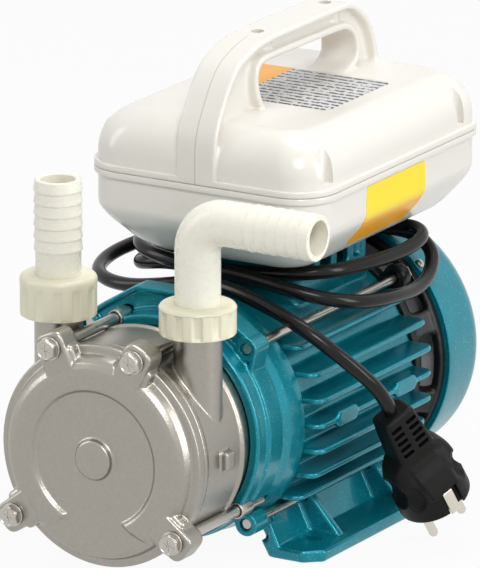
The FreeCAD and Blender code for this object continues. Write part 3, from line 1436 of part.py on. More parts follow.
kept(coded("cord_coil", coil_shape.removeSplitter()))


def rounded_route(points):
    """Straight runs joined by tangent arcs as large as their two runs allow, and the arcs' radii."""
    corners = [Vector(*point) for point in points]
    edges = []
    radii = []
    last = corners[0]
    for before, here, after in zip(corners, corners[1:], corners[2:]):
        back = before - here
        ahead = after - here
        reach = 0.45 * min(back.Length, ahead.Length)
        turn = math.pi - back.getAngle(ahead)
        radius = reach / math.tan(turn / 2)
        radii.append(round(radius, 1))
        start = here + back.normalize() * reach
        end = here + ahead.normalize() * reach
        bisector = (back + ahead).normalize()
        middle = here + bisector * (radius / math.cos(turn / 2) - radius)
        edges.append(Part.LineSegment(last, start).toShape())
        edges.append(Part.Arc(start, middle, end).toShape())
        last = end
    edges.append(Part.LineSegment(last, corners[-1]).toShape())
    return Part.Wire(edges), radii


def tube_along(points, radius):
    """A round tube along a rounded route, with its radii and length printed."""
    wire, radii = rounded_route(points)
    start = wire.Vertexes[0].Point
    heading = (Vector(*points[1]) - Vector(*points[0])).normalize()
    circle = Part.Wire([Part.Circle(start, heading, radius).toShape()])
    tube = wire.makePipeShell([circle], True, True)
    print("cord radii", radii, "length", round(wire.Length, 1),
          "volume share", round(tube.Volume / (math.pi * radius ** 2 * wire.Length), 4))
    return tube


# Plug: round cap, ribbed relief and two pins, standing on its pin tips beside the motor
plug_entry = Vector(94, -29, 75)
plug_heading = Vector(0.142, 0.501, -0.854).normalize()
plug_spread = Vector(0.437, 0.742, 0.508)
plug_turn = Rotation(plug_spread, Vector(), plug_heading, "ZXY")
plug_shape = turned("plug_shape", [
    (0, 0), (0, size.cord_radius + 1.4), (16, size.cord_radius + 2.8), (22, 9), (34, 14), (46, size.plug_radius - 1.5),
    (49, size.plug_radius), (size.plug_length, size.plug_radius), (size.plug_length, 0),
], (0, 0, 0), upright=True)
pins = [
    rod(f"plug_pin_{side}", size.plug_pin_radius, (side * size.plug_pin_spacing / 2, 0, size.plug_length),
        size.plug_pin_length, "z")
    for side in (-1, 1)
]
clips = [
    block(f"earth_clip_{side}", (-3, side * (size.plug_radius + 0.1) - 0.9, size.plug_length - 14),
          (3, side * (size.plug_radius + 0.1) + 0.9, size.plug_length))
    for side in (-1, 1)
]
clip_slots = [
    block(f"clip_slot_{side}", (-3, side * (size.plug_radius + 0.1) - 0.9, size.plug_length - 14),
          (3, side * (size.plug_radius + 0.1) + 0.9, size.plug_length + 1))
    for side in (-1, 1)
]
doc.recompute()
for name, shape in (
    ("plug_body", plug_shape.Shape.cut(clip_slots[0].Shape).cut(clip_slots[1].Shape)),
    ("plug_pins", Part.makeCompound([pin.Shape for pin in pins])),
    ("earth_clips", Part.makeCompound([clip.Shape for clip in clips])),
):
    kept(coded(name, shape, Placement(plug_entry, plug_turn)))

# Lead: from the coil's front past the motor's right side to the plug
lead_points = [
    (2, -50, 134.4), (18, -54, 133.6), (34.5, -57.5, 130.5), (50.5, -58.5, 125.3), (65, -57, 117.5),
    (77, -52.5, 108), (86.3, -45, 97.6), tuple(plug_entry - plug_heading * 14), tuple(plug_entry),
]
kept(coded("cord_lead", tube_along(lead_points, size.cord_radius.value)))

doc.recompute()
failed = [item.Name for item in doc.Objects if "Invalid" in item.State or "Error" in item.State]
if failed:
    raise RuntimeError(f"not built: {failed}")
os.makedirs("parts", exist_ok=True)
for node in nodes:
    shape = node.Shape
    if shape.isNull() or not shape.isValid() or not shape.Solids:
        raise RuntimeError(f"bad shape: {node.Label}")
    shape.exportStep(f"parts/{node.Label}.step")
print(len(nodes), "nodes")
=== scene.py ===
"""Looks of the electric transfer pump: castings, painted motor, switch box, hose tails, cord and plug."""

import json
import math

import bmesh
import bpy
from mathutils import Matrix, Vector


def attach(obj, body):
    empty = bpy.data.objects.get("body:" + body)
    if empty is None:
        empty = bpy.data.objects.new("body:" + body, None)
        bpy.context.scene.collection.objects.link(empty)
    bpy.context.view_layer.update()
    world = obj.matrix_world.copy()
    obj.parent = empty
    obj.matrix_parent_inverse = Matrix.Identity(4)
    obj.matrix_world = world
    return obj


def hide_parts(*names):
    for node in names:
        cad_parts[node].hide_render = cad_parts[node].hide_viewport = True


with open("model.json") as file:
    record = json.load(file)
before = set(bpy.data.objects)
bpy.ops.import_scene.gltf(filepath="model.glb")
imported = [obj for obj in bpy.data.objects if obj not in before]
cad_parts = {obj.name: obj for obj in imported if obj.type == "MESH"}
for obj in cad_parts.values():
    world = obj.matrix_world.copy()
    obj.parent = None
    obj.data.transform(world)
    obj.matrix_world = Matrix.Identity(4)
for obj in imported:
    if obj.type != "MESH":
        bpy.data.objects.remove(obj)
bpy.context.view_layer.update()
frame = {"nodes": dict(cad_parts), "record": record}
scene = bpy.context.scene
scene.view_settings.view_transform = "Standard"

# Places that several pieces share, in millimetres

MM = 0.001
SHAFT_HEIGHT = 71
SHAFT = Vector((0, 0, SHAFT_HEIGHT))
PORT_X, PORT_Y = 40.7, -130.5
BOLTS = [(x, SHAFT_HEIGHT + rise) for x, rise in ((-24.2, 54.6), (24.2, 54.6), (-46.7, -35.7), (46.7, -35.7))]
TIES = [(x, SHAFT_HEIGHT + rise) for x in (-46, 46) for rise in (-46, 46)]
FLANGE_FRONT, FLANGE_BACK = -92.6, -79.6
HOUSING_FRONT, HOUSING_BACK = -61, 56.5
BOX_HALF, BOX_FRONT, BOX_REAR, BOX_CORNER = 67.8, -63.6, 116.3, 22
BOX_WALL = 2.6
HULL_TOP, HULL_DEPTH, HULL_DRAW = 171, 27, 24.8
LID_SPRING, LID_RISE, LID_DRAW = 197, 22.4, 19
LID_TOP = LID_SPRING + LID_RISE
GLAND_X, GLAND_Y = -34, 66


# Mesh helpers, all in millimetres until the mesh is written

def linked(name, data):
    """A new object in the scene."""
    piece = bpy.data.objects.new(name, data)
    scene.collection.objects.link(piece)
    return piece


def mesh_piece(name, points, faces):
    """A smooth mesh object from points in millimetres."""
    mesh = bpy.data.meshes.new(name)
    mesh.from_pydata([tuple(Vector(point) * MM) for point in points], [], faces)
    mesh.validate()
    work = bmesh.new()
    work.from_mesh(mesh)
    bmesh.ops.remove_doubles(work, verts=work.verts, dist=0.01 * MM)
    bmesh.ops.recalc_face_normals(work, faces=work.faces)
    work.to_mesh(mesh)
    work.free()
    mesh.shade_smooth()
    return linked(name, mesh)


def finished(piece):
    """Apply a piece's modifiers to its mesh."""
    bpy.context.view_layer.update()
    graph = bpy.context.evaluated_depsgraph_get()
    mesh = bpy.data.meshes.new_from_object(piece.evaluated_get(graph))
    old = piece.data
    piece.modifiers.clear()
    piece.data = mesh
    bpy.data.meshes.remove(old)
    return piece


def joined(name, pieces):
    """One object holding the meshes of several, which are removed."""
    work = bmesh.new()
    for piece in pieces:
        work.from_mesh(piece.data)
    mesh = bpy.data.meshes.new(name)
    work.to_mesh(mesh)
    work.free()
    mesh.shade_smooth()
    for piece in pieces:
        bpy.data.objects.remove(piece)
    return linked(name, mesh)


def sharp_by_angle(piece, degrees=32):
    """Show edges that turn by more than an angle as sharp."""
    piece.data.set_sharp_from_angle(angle=math.radians(degrees))
    return piece


def bevelled(piece, width, segments=3, angle=30):
    """Round a piece's hard edges."""
    bevel = piece.modifiers.new("edges", "BEVEL")
    bevel.width = width * MM
    bevel.segments = segments
    bevel.limit_method = "ANGLE"
    bevel.angle_limit = math.radians(angle)
    return sharp_by_angle(finished(piece))


def recast(name, pieces, voxel, passes):
    """Blend overlapping pieces into one casting with soft fillets."""
    piece = joined(name, pieces)
    remesh = piece.modifiers.new("cast", "REMESH")
    remesh.mode = "VOXEL"
    remesh.voxel_size = voxel * MM
    remesh.use_smooth_shade = True
    smooth = piece.modifiers.new("soft", "SMOOTH")
    smooth.factor = 0.5
    smooth.iterations = passes
    return finished(piece)


def carved(piece, tools):
    """Cut tools out of a piece and remove them."""
    for tool in tools:
        cutter = piece.modifiers.new("cut", "BOOLEAN")
        cutter.operation = "DIFFERENCE"
        cutter.solver = "EXACT"
        cutter.object = tool
    finished(piece)
    for tool in tools:
        bpy.data.objects.remove(tool)
    return piece


def lofted(name, rings, closed_ends=True):
    """A skin over rings that all have the same number of points."""
    count = len(rings[0])
    points = [point for ring in rings for point in ring]
    faces = []
    for low in range(0, (len(rings) - 1) * count, count):
        for i in range(count):
            j = (i + 1) % count
            faces.append((low + i, low + j, low + count + j, low + count + i))
    if closed_ends:
        faces.append(tuple(range(count)))
        faces.append(tuple(range(len(points) - count, len(points))))
    return mesh_piece(name, points, faces)


def circle(steps):
    """Cosine and sine of evenly spaced angles."""
    angles = [math.tau * k / steps for k in range(steps)]
    return [(math.cos(angle), math.sin(angle)) for angle in angles]


def quarter(steps):
    """Evenly spaced angles from zero to a right angle."""
    return [math.pi / 2 * k / steps for k in range(steps + 1)]


def rectangle(left, low, right, high):
    return [(left, low), (right, low), (right, high), (left, high)]


def rounded(corners, radius, steps=4):
    """A closed outline with its corners rounded. A corner may give its own radius as a third number."""
    result = []
    for i, corner in enumerate(corners):
        here = Vector(corner[:2])
        back = Vector(corners[i - 1][:2]) - here
        ahead = Vector(corners[(i + 1) % len(corners)][:2]) - here
        own = corner[2] if len(corner) > 2 else radius
        if own <= 0:
            result.append(tuple(here))
            continue
        reach = min(own / math.tan(back.angle(ahead) / 2), 0.48 * back.length, 0.48 * ahead.length)
        start = here + back.normalized() * reach
        end = here + ahead.normalized() * reach
        for step in range(steps + 1):
            t = step / steps
            result.append(tuple(start * (1 - t) ** 2 + here * 2 * t * (1 - t) + end * t ** 2))
    return result


def turned(name, profile, origin=SHAFT, direction=(0, 1, 0), steps=96, soft=0):
    """A solid of revolution from a closed outline of (along, radius) corners, rounded where soft is given."""
    if soft:
        profile = rounded(profile, soft, 3)
    along = Vector(direction)
    helper = Vector((0, 0, 1)) if abs(along.z) < 0.9 else Vector((1, 0, 0))
    across = along.cross(helper).normalized()
    up = along.cross(across).normalized()
    points = []
    for cos, sin in circle(steps):
        outward = across * cos + up * sin
        points += [Vector(origin) + along * distance + outward * radius for distance, radius in profile]
    faces = []
    count = len(profile)
    for step in range(steps):
        here, there = step * count, (step + 1) % steps * count
        for i in range(count):
            j = (i + 1) % count
            if max(profile[i][1], profile[j][1]) > 0:
                faces.append((here + i, here + j, there + j, there + i))
    return mesh_piece(name, points, faces)


def sleeve(name, place, low, high, bore, radius, soft, steps=48):
    """A short tube along y at a place (x, z)."""
    return turned(name, rectangle(low, bore, high, radius), (place[0], 0, place[1]), steps=steps, soft=soft)


def rod(name, start, end, radius, steps=32, chamfer=0.0):
    """A round bar between two points, its ends chamfered."""
    way = Vector(end) - Vector(start)
    length = way.length
    profile = [(0, 0), (0, radius - chamfer), (chamfer, radius), (length - chamfer, radius),
               (length, radius - chamfer), (length, 0)]
    return turned(name, profile, start, way.normalized(), steps)


def extruded(name, outline, low, high, axis="y"):
    """An outline between two distances: its corners are (x, z) along y, (y, z) along x or (x, y) along z."""
    rings = []
    for w in (low, high):
        rings.append([{"y": (u, w, v), "x": (w, u, v), "z": (u, v, w)}[axis] for u, v in outline])
    return lofted(name, rings)


def block(name, low, high):
    """A box between two opposite corners."""
    return extruded(name, rectangle(*low[:2], *high[:2]), low[2], high[2], "z")


def tube_rings(path, radii, steps):
    """Rings of changing radius along a path that keeps to one place along y."""
    path = [Vector(point) for point in path]
    across = Vector((0, 1, 0))
    rings = []
    for i, (point, radius) in enumerate(zip(path, radii)):
        heading = path[min(i + 1, len(path) - 1)] - path[max(i - 1, 0)]
        up = heading.cross(across).normalized()
        rings.append([point + (across * cos + up * sin) * radius for cos, sin in circle(steps)])
    return rings


def inset(outline, distance):
    """A closed outline pulled inwards by a distance."""
    count = len(outline)
    area = sum(a[0] * b[1] - b[0] * a[1] for a, b in zip(outline, outline[1:] + outline[:1]))
    side = math.copysign(1, area)
    result = []
    for i in range(count):
        before, here, after = (Vector(outline[(i + k) % count][:2]) for k in (-1, 0, 1))
        first = (here - before).normalized()
        second = (after - here).normalized()
        inward = (Vector((-first.y, first.x)) + Vector((-second.y, second.x))) * side
        share = max(1 + first.dot(second), 0.35)
        result.append(tuple(here + inward * distance / share))
    return result


def smooth_line(points, steps):
    """A line drawn smoothly through points."""
    result = []
    last = len(points) - 1
    for i in range(last):
        a, b, c, d = (Vector(points[min(max(i + k, 0), last)]) for k in (-1, 0, 1, 2))
        for step in range(steps):
            t = step / steps
            bend = (2 * a - 5 * b + 4 * c - d) * t * t + (3 * b - a - 3 * c + d) * t ** 3
            result.append(tuple(0.5 * (2 * b + (c - a) * t + bend)))
    return result + [tuple(points[-1])]


def beside(line, distance):
    """A line drawn a distance to the side of another."""
    result = []
    for i, here in enumerate(line):
        ahead = Vector(line[min(i + 1, len(line) - 1)]) - Vector(line[max(i - 1, 0)])
        ahead.normalize()
        result.append((here[0] - ahead.y * distance, here[1] + ahead.x * distance))
    return result


def between(table, value):
    """The height at a place in a table of (place, height)."""
    for (low, first), (high, second) in zip(table, table[1:]):
        if value <= high:
            return first + (second - first) * max(value - low, 0) / (high - low)
    return table[-1][1]


def eased(value):
    value = min(max(value, 0), 1)
    return value * value * (3 - 2 * value)


def moved(piece, matrix):
    piece.data.transform(matrix)
    return piece


# Materials

MIX_SHARE, MIX_FIRST, MIX_SECOND, MIX_RESULT = 0, 6, 7, 2
SHELL_WHITE = (0.80, 0.775, 0.72)


def shine(level):
    return {"Specular IOR Level": level}


def feed(tree, socket, value):
    """Link a socket to another, or set it to a number or a colour."""
    if isinstance(value, bpy.types.NodeSocket):
        tree.links.new(value, socket)
    else:
        socket.default_value = (*value, 1) if isinstance(value, tuple) else value


def add_node(tree, kind, inputs=(), **settings):
    """A shader node with its settings and inputs."""
    made = tree.nodes.new(kind)
    for key, value in settings.items():
        setattr(made, key, value)
    for key, value in dict(inputs).items():
        feed(tree, made.inputs[key], value)
    return made


class Surface:
    """A principled material and the nodes that feed it."""

    def __init__(self, name, color, metallic, roughness, sockets=()):
        self.material = bpy.data.materials.new(name)
        self.material.use_nodes = True
        self.tree = self.material.node_tree
        self.shader = self.tree.nodes["Principled BSDF"]
        inputs = {"Base Color": color, "Metallic": metallic, "Roughness": roughness, **dict(sockets)}
        for key, value in inputs.items():
            self.give(key, value)
        self.place = self.node("ShaderNodeTexCoord").outputs["Object"]

    def give(self, socket, value):
        feed(self.tree, self.shader.inputs[socket], value)

    def node(self, kind, inputs=(), **settings):
        return add_node(self.tree, kind, inputs, **settings)

    def noise(self, scale, detail):
        settings = {"Vector": self.place, "Scale": scale, "Detail": detail, "Roughness": 0.55}
        return self.node("ShaderNodeTexNoise", settings).outputs["Fac"]

    def axis(self, name):
        return self.node("ShaderNodeSeparateXYZ", {"Vector": self.place}).outputs[name]

    def calculate(self, operation, *values):
        return self.node("ShaderNodeMath", enumerate(values), operation=operation).outputs[0]

    def ramp(self, source, first, second, start=0.3, end=0.7):
        """One colour turning into another over a span of the source."""
        made = self.node("ShaderNodeValToRGB", {"Fac": source})
        for element, position, color in zip(made.color_ramp.elements, (start, end), (first, second)):
            element.position = position
            element.color = (*color, 1)
        return made.outputs["Color"]

    def span(self, source, low, high, start=0.3, end=0.7):
        """A number going from low to high over a span of the source."""
        return self.node("ShaderNodeMapRange", {
            "Value": source, "From Min": start, "From Max": end, "To Min": low, "To Max": high,
        }).outputs["Result"]

    def blend(self, share, first, second):
        inputs = {MIX_SHARE: share, MIX_FIRST: first, MIX_SECOND: second}
        return self.node("ShaderNodeMix", inputs, data_type="RGBA").outputs[MIX_RESULT]

    def rough(self, scale, detail, low, high):
        self.give("Roughness", self.span(self.noise(scale, detail), low, high))

    def bump(self, scale, detail, strength, distance):
        grain = {"Height": self.noise(scale, detail), "Strength": strength, "Distance": distance}
        self.give("Normal", self.node("ShaderNodeBump", grain).outputs["Normal"])


def cast_steel():
    """Bead-blasted cast stainless: warm grey, faintly mottled, fine grain."""
    surface = Surface("cast_steel_finish", (0.5, 0.48, 0.45), 1.0, 0.4)
    mottle = surface.ramp(surface.noise(600, 3), (0.342, 0.324, 0.289), (0.37, 0.35, 0.314))
    surface.give("Base Color", mottle)
    surface.rough(420, 4, 0.29, 0.37)
    surface.bump(800, 3, 0.24, 0.0003)
    return surface.material


def hardware_steel():
    surface = Surface("hardware_finish", (0.50, 0.475, 0.435), 1.0, 0.26)
    surface.rough(180, 2, 0.26, 0.34)
    surface.bump(400, 2, 0.01, 0.0001)
    return surface.material


def painted(name):
    """Metallic paint with fine bright flakes under a clear coat."""
    coat = {"Coat Weight": 0.3, "Coat Roughness": 0.06}
    surface = Surface(name, (0.0, 0.16, 0.22), 0.45, 0.3, {**coat, **shine(0.3)})
    flakes = surface.node("ShaderNodeTexVoronoi", {"Vector": surface.place, "Scale": 2600.0})
    picked = surface.node("ShaderNodeSeparateColor", {"Color": flakes.outputs["Color"]}).outputs["Red"]
    chosen = surface.span(picked, 0.0, 0.7, 0.974, 0.982)
    tone = surface.ramp(surface.noise(45, 3), (0.0, 0.20, 0.26), (0.0, 0.24, 0.315))
    surface.give("Base Color", surface.blend(chosen, tone, (0.22, 0.52, 0.42)))
    surface.bump(900, 2, 0.06, 0.0002)
    return surface.material


def plastic(name, color, roughness, grain, strength, tone, sockets=(), metallic=0.0):
    """A moulded or plain surface with a faint mottle in its tone and a fine grain."""
    surface = Surface(name, color, metallic, roughness, sockets)
    darker = tuple(channel * (1 - tone) for channel in color)
    surface.give("Base Color", surface.ramp(surface.noise(55, 3), darker, color))
    surface.rough(220, 3, roughness * 0.88, roughness * 1.12)
    surface.bump(grain, 2, strength, 0.0002)
    return surface.material


def nylon(name, color, roughness, tone, depth):
    """Pale nylon that lets a little light through."""
    through = {"Subsurface Weight": 0.1, "Subsurface Scale": depth}
    return plastic(name, color, roughness, 500, 0.02, tone, through)


def label_finish():
    """Yellow above and orange below."""
    surface = Surface("label_finish", (1.0, 0.68, 0.0), 0.0, 0.35)
    share = surface.span(surface.axis("Z"), 0.0, 1.0, 0.1645, 0.1685)
    surface.give("Base Color", surface.blend(share, (0.95, 0.43, 0.005), (1.0, 0.76, 0.01)))
    surface.rough(300, 3, 0.3, 0.4)
    surface.bump(1500, 2, 0.03, 0.0001)
    return surface.material


def plate_finish():
    """An orange field beside a grey one with rows of plain dashes."""
    surface = Surface("plate_finish", (0.6, 0.6, 0.6), 0.2, 0.4)
    share = surface.span(surface.axis("X"), 0.0, 1.0, -0.01555, -0.01545)
    rows = surface.node("ShaderNodeTexWave", {"Vector": surface.place, "Scale": 62.0}, bands_direction="Y")
    breaks = surface.span(surface.noise(480, 1), 0, 1, 0.42, 0.47)
    inked = surface.calculate("MULTIPLY", surface.span(rows.outputs["Fac"], 0, 1, 0.5, 0.62), breaks)
    lines = surface.ramp(inked, (0.62, 0.62, 0.62), (0.07, 0.07, 0.075), 0.2, 0.8)
    surface.give("Base Color", surface.blend(share, (0.93, 0.42, 0.03), lines))
    surface.bump(1500, 2, 0.03, 0.0001)
    return surface.material


def lid_finish():
    """The shell's white with the fine parting line down the front of the handle."""
    surface = Surface("lid_finish", SHELL_WHITE, 0.0, 0.22)
    near = surface.span(surface.calculate("ABSOLUTE", surface.axis("X")), 1, 0, 0.00022, 0.0004)
    front = surface.span(surface.axis("Y"), 1, 0, -0.0125, -0.012)
    line = surface.calculate("MULTIPLY", near, front)
    surface.give("Base Color", surface.blend(line, SHELL_WHITE, (0.58, 0.56, 0.51)))
    surface.rough(220, 3, 0.2, 0.24)
    surface.bump(300, 2, 0.006, 0.0002)
    return surface.material


LID_WHITE = lid_finish()
SWITCH_BLACK = plastic("switch_finish", (0.012, 0.012, 0.012), 0.3, 500, 0.02, 0.1)
FINISHES = {
    "cast_steel": cast_steel(),
    "steel_hardware": hardware_steel(),
    "teal_cast": painted("teal_paint_finish"),
    "teal_sheet": painted("teal_sheet_finish"),
    "black_cast": plastic("black_paint_finish", (0.008, 0.008, 0.008), 0.36, 500, 0.06, 0.2, shine(0.3)),
    "white_shell": plastic("white_shell_finish", SHELL_WHITE, 0.22, 300, 0.006, 0.01),
    "ivory_nylon": nylon("ivory_nylon_finish", (0.80, 0.77, 0.60), 0.33, 0.03, 0.003),
    "milky_nylon": nylon("milky_nylon_finish", (0.92, 0.895, 0.78), 0.28, 0.02, 0.005),
    "black_rubber": plastic("cord_finish", (0.008, 0.0075, 0.007), 0.2, 200, 0.004, 0.1, shine(0.25)),
    "black_plug": plastic("plug_finish", (0.008, 0.0077, 0.0073), 0.45, 1300, 0.2, 0.2, shine(0.14)),
    "seal_rubber": plastic("seal_finish", (0.02, 0.02, 0.02), 0.6, 1500, 0.1, 0.2),
    "bright_pins": plastic("pin_finish", (0.70, 0.66, 0.58), 0.3, 1500, 0.05, 0.05, metallic=1.0),
    "lamination_steel": plastic("lamination_finish", (0.12, 0.12, 0.13), 0.45, 2000, 0.1, 0.2, metallic=0.8),
    "copper": plastic("copper_finish", (0.55, 0.20, 0.08), 0.4, 1200, 0.15, 0.2, metallic=1.0),
    "fan_plastic": plastic("fan_finish", (0.78, 0.77, 0.80), 0.4, 500, 0.02, 0.04),
    "ceramic": plastic("ceramic_finish", (0.7, 0.68, 0.62), 0.3, 1500, 0.05, 0.05),
    "plate_silver": plate_finish(),
    "label_yellow": label_finish(),
}
FINISHES["bearing_steel"] = FINISHES["steel_hardware"]
FINISHES["white_part"] = FINISHES["white_shell"]


def dressed(piece, slot, node, sharp=None, body="frame", material=None):
    """Give a piece the finish of its record slot and put it in its body, and hide the CAD node it stands for.
    """
    if sharp:
        sharp_by_angle(piece, sharp)
    piece.data.materials.clear()
    piece.data.materials.append(material or FINISHES[slot])
    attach(piece, body)
    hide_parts(node)


# Camera, lamps and floor

def look_from(place, ahead, up, lens):
    """A camera at the photograph's place."""
    data = bpy.data.cameras.new("photo_camera")
    data.lens = lens
    data.sensor_width = 36
    data.clip_end = 50
    ahead = Vector(ahead).normalized()
    right = ahead.cross(Vector(up)).normalized()
    turn = Matrix((right, right.cross(ahead), -ahead)).transposed().to_4x4()
    scene.camera = linked("photo_camera", data)
    scene.camera.matrix_world = Matrix.Translation(place) @ turn


def lamp(name, place, size, power):
    """A rectangular lamp that points at the middle of the pump."""
    data = bpy.data.lights.new(name, "AREA")
    data.shape = "RECTANGLE"
    data.size, data.size_y = size
    data.energy = power
    light = linked(name, data)
    light.location = place
    light.rotation_euler = (Vector((0, 0, 0.1)) - Vector(place)).to_track_quat("-Z", "Y").to_euler()


def seen_rays(tree):
    """One for rays that the camera sees straight, in a reflection or through clear things, else zero."""
    rays = add_node(tree, "ShaderNodeLightPath").outputs
    seen = rays["Is Camera Ray"]
    for ray in ("Is Glossy Ray", "Is Transmission Ray"):
        seen = add_node(tree, "ShaderNodeMath", {0: seen, 1: rays[ray]}, operation="MAXIMUM").outputs[0]
    return seen


def surroundings():
    """A white world, dimmer as a light than it looks, and a pale floor that keeps the pump's shadow."""
    scene.world = bpy.data.worlds.new("studio")
    scene.world.use_nodes = True
    tree = scene.world.node_tree
    strength = add_node(tree, "ShaderNodeMapRange", {"Value": seen_rays(tree), "To Min": 0.25, "To Max": 1.0})
    background = tree.nodes["Background"].inputs
    feed(tree, background["Color"], (1, 1, 1))
    feed(tree, background["Strength"], strength.outputs["Result"])
    bpy.ops.mesh.primitive_plane_add(size=12, location=(0, 0, -0.0004))
    floor = bpy.context.object
    floor.name = "studio_floor"
    surface = Surface("floor_finish", (0.6, 0.6, 0.6), 0.0, 0.8)
    glow = surface.node("ShaderNodeEmission", {"Color": (1, 1, 1)})
    share = surface.calculate("MULTIPLY", seen_rays(surface.tree), 0.94)
    mixed = surface.node("ShaderNodeMixShader", {
        "Fac": share, 1: surface.shader.outputs["BSDF"], 2: glow.outputs["Emission"]})
    output = surface.tree.nodes["Material Output"]
    feed(surface.tree, output.inputs["Surface"], mixed.outputs["Shader"])
    floor.data.materials.append(surface.material)


look_from((2.3069, -3.9212, 1.4346), (-0.48908, 0.82698, -0.27731), (-0.14116, 0.23870, 0.96078), 586.4)
surroundings()
lamp("key", (1.1, -1.4, 1.5), (0.7, 0.7), 19)
lamp("left", (-1.5, -0.9, 0.9), (0.5, 1.3), 8)
lamp("right", (1.8, 0.1, 0.7), (0.5, 1.3), 14)
lamp("top", (0.1, 0.4, 1.9), (1.0, 1.0), 18)


# Pump cover, body and bolts

COVER_EDGE, COVER_BACK, COVER_STEPS = 57.6, -151.3, 288
COVER_DISH = [(0.4, -166), (9.3, -166), (10.2, -165.3), (10.5, -163.5), (11.6, -162.8), (33.4, -162.8)]
COVER_RIM = [(51.6, -161.6), (52.7, -159), (53.2, -157.6), (57, -157.4), (COVER_EDGE, -156.8)]
COVER_RING = COVER_DISH + [
    (34.6, -163.1), (36, -164.9), (37.4, -165.5), (44, -165.5), (47, -165.1), (49.6, -163.9)] + COVER_RIM
COVER_OPENING = COVER_DISH + [(47.5, -162.8), (50, -162.5)] + COVER_RIM
OPENING_HALF_ANGLES = [(34, 26), (53, 41)]
OPENING_EASE = math.radians(4)
COVER_STATIONS = [
    0.4, 4, 9.3, 10.2, 10.5, 11.6, 20, 30, 33.4, 34.6, 35.3, 36, 37.4, 40, 44, 45.5, 47, 48.3, 49.6, 50.7,
    51.6, 52.7, 53.2, 55, 57, COVER_EDGE]


def lug(name, x, z, low, high, inner, outer=67.6, half=8.2, corner=6):
    """A block that reaches out from the shaft line to hold a bolt."""
    outline = [(inner, -half, 0), (outer, -half, corner), (outer, half, corner), (inner, half, 0)]
    turn = Matrix.Rotation(math.atan2(z - SHAFT_HEIGHT, x), 2)
    points = [turn @ Vector(point) for point in rounded(outline, corner, 8)]
    return extruded(name, [(point.x, point.y + SHAFT_HEIGHT) for point in points], low, high)


def pump_cover():
    """A dish with a middle boss and a raised ring that is open below, and four ears for the bolts."""
    rings = []
    for radius in COVER_STATIONS:
        opening = math.radians(between(OPENING_HALF_ANGLES, radius))
        row = []
        for k, (cos, sin) in enumerate(circle(COVER_STEPS)):
            off = math.tau * min(k, COVER_STEPS - k) / COVER_STEPS
            share = eased((off - opening) / OPENING_EASE + 0.5)
            y = between(COVER_RING, radius) * share + between(COVER_OPENING, radius) * (1 - share)
            row.append((radius * sin, y, SHAFT_HEIGHT - radius * cos))
        rings.append(row)
    for radius, y in ((COVER_EDGE, COVER_BACK), (42, COVER_BACK), (42, -155.5), (0.4, -155.5)):
        rings.append([(radius * sin, y, SHAFT_HEIGHT - radius * cos) for cos, sin in circle(COVER_STEPS)])
    pieces = [lofted("cover_dish", rings)]
    for x, z in BOLTS:
        pieces.append(bevelled(lug("cover_ear", x, z, -165.3, COVER_BACK, 46), 1.6))
        pieces.append(bevelled(lug("cover_cheeks", x, z, -163.4, -152, 47, 58, 10.6, 3), 2.4))
    cover = recast("pump_cover_casting", pieces, 0.5, 4)
    dressed(cover, "cast_steel", "pump_cover")


def pump_body():
    """A drum with a hollow middle, two port tubes, a web under each and a nub beside each."""
    pieces = [turned("body_shell", [
        (-150.7, 42), (-150.7, 57.0), (-147.6, 57.0), (-146.6, 56.2), (-114.6, 56.2), (-113.6, 57.2),
        (-111.2, 57.2), (-111.2, 53.7), (-92.6, 53.7), (-92.6, 47), (-116, 47), (-116, 10), (-118, 10),
        (-118, 15), (-134, 15), (-134, 42),
    ], steps=192, soft=0.8)]
    for side, neck_top, tube_top in ((-1, 133, 147.0), (1, 135, 144.2)):
        x = side * PORT_X
        pieces.append(turned("port_tube", [
            (SHAFT_HEIGHT, 0), (SHAFT_HEIGHT, 12.3), (neck_top, 12.3), (neck_top + 1.2, 15.2),
            (tube_top, 15.2), (tube_top, 8.5), (92, 8.5), (92, 0),
        ], (x, PORT_Y, 0), (0, 0, 1)))
        web = [(x - side * 8, 140), (x + side * 12.2, 108), (x + side * 12.2, 84), (x - side * 9, 84)]
        nub = block("port_nub", (x + side * 8, -134.8, 66.4), (x + side * 19.6, -126.2, 75.6))
        pieces += [bevelled(extruded("port_web", web, -132.4, -128.6), 0.8), bevelled(nub, 1.2)]
    body = recast("pump_body_casting", pieces, 0.6, 3)
    dressed(body, "cast_steel", "pump_body")


BOLT_HEAD = [(9.9, -166.7, 0.05), (10, -167.1, 0), (10, -169.4, 0), (9.9, -170, 0.3), (9.5, -170.6, 0.9),
             (8.6, -170.7, 1), (8.0, -170.4, 1)]


def hex_ring(flats, y, x, z, soften, steps=48):
    """A hexagon's outline, eased towards its inner circle."""
    points = []
    for k in range(steps):
        angle = math.tau * k / steps
        wedge = math.remainder(angle - math.pi / 6, math.pi / 3)
        radius = flats / 2 / math.cos(wedge) * (1 - soften) + flats / 2 * soften
        points.append((x + radius * math.sin(angle), y, z + radius * math.cos(angle)))
    return points


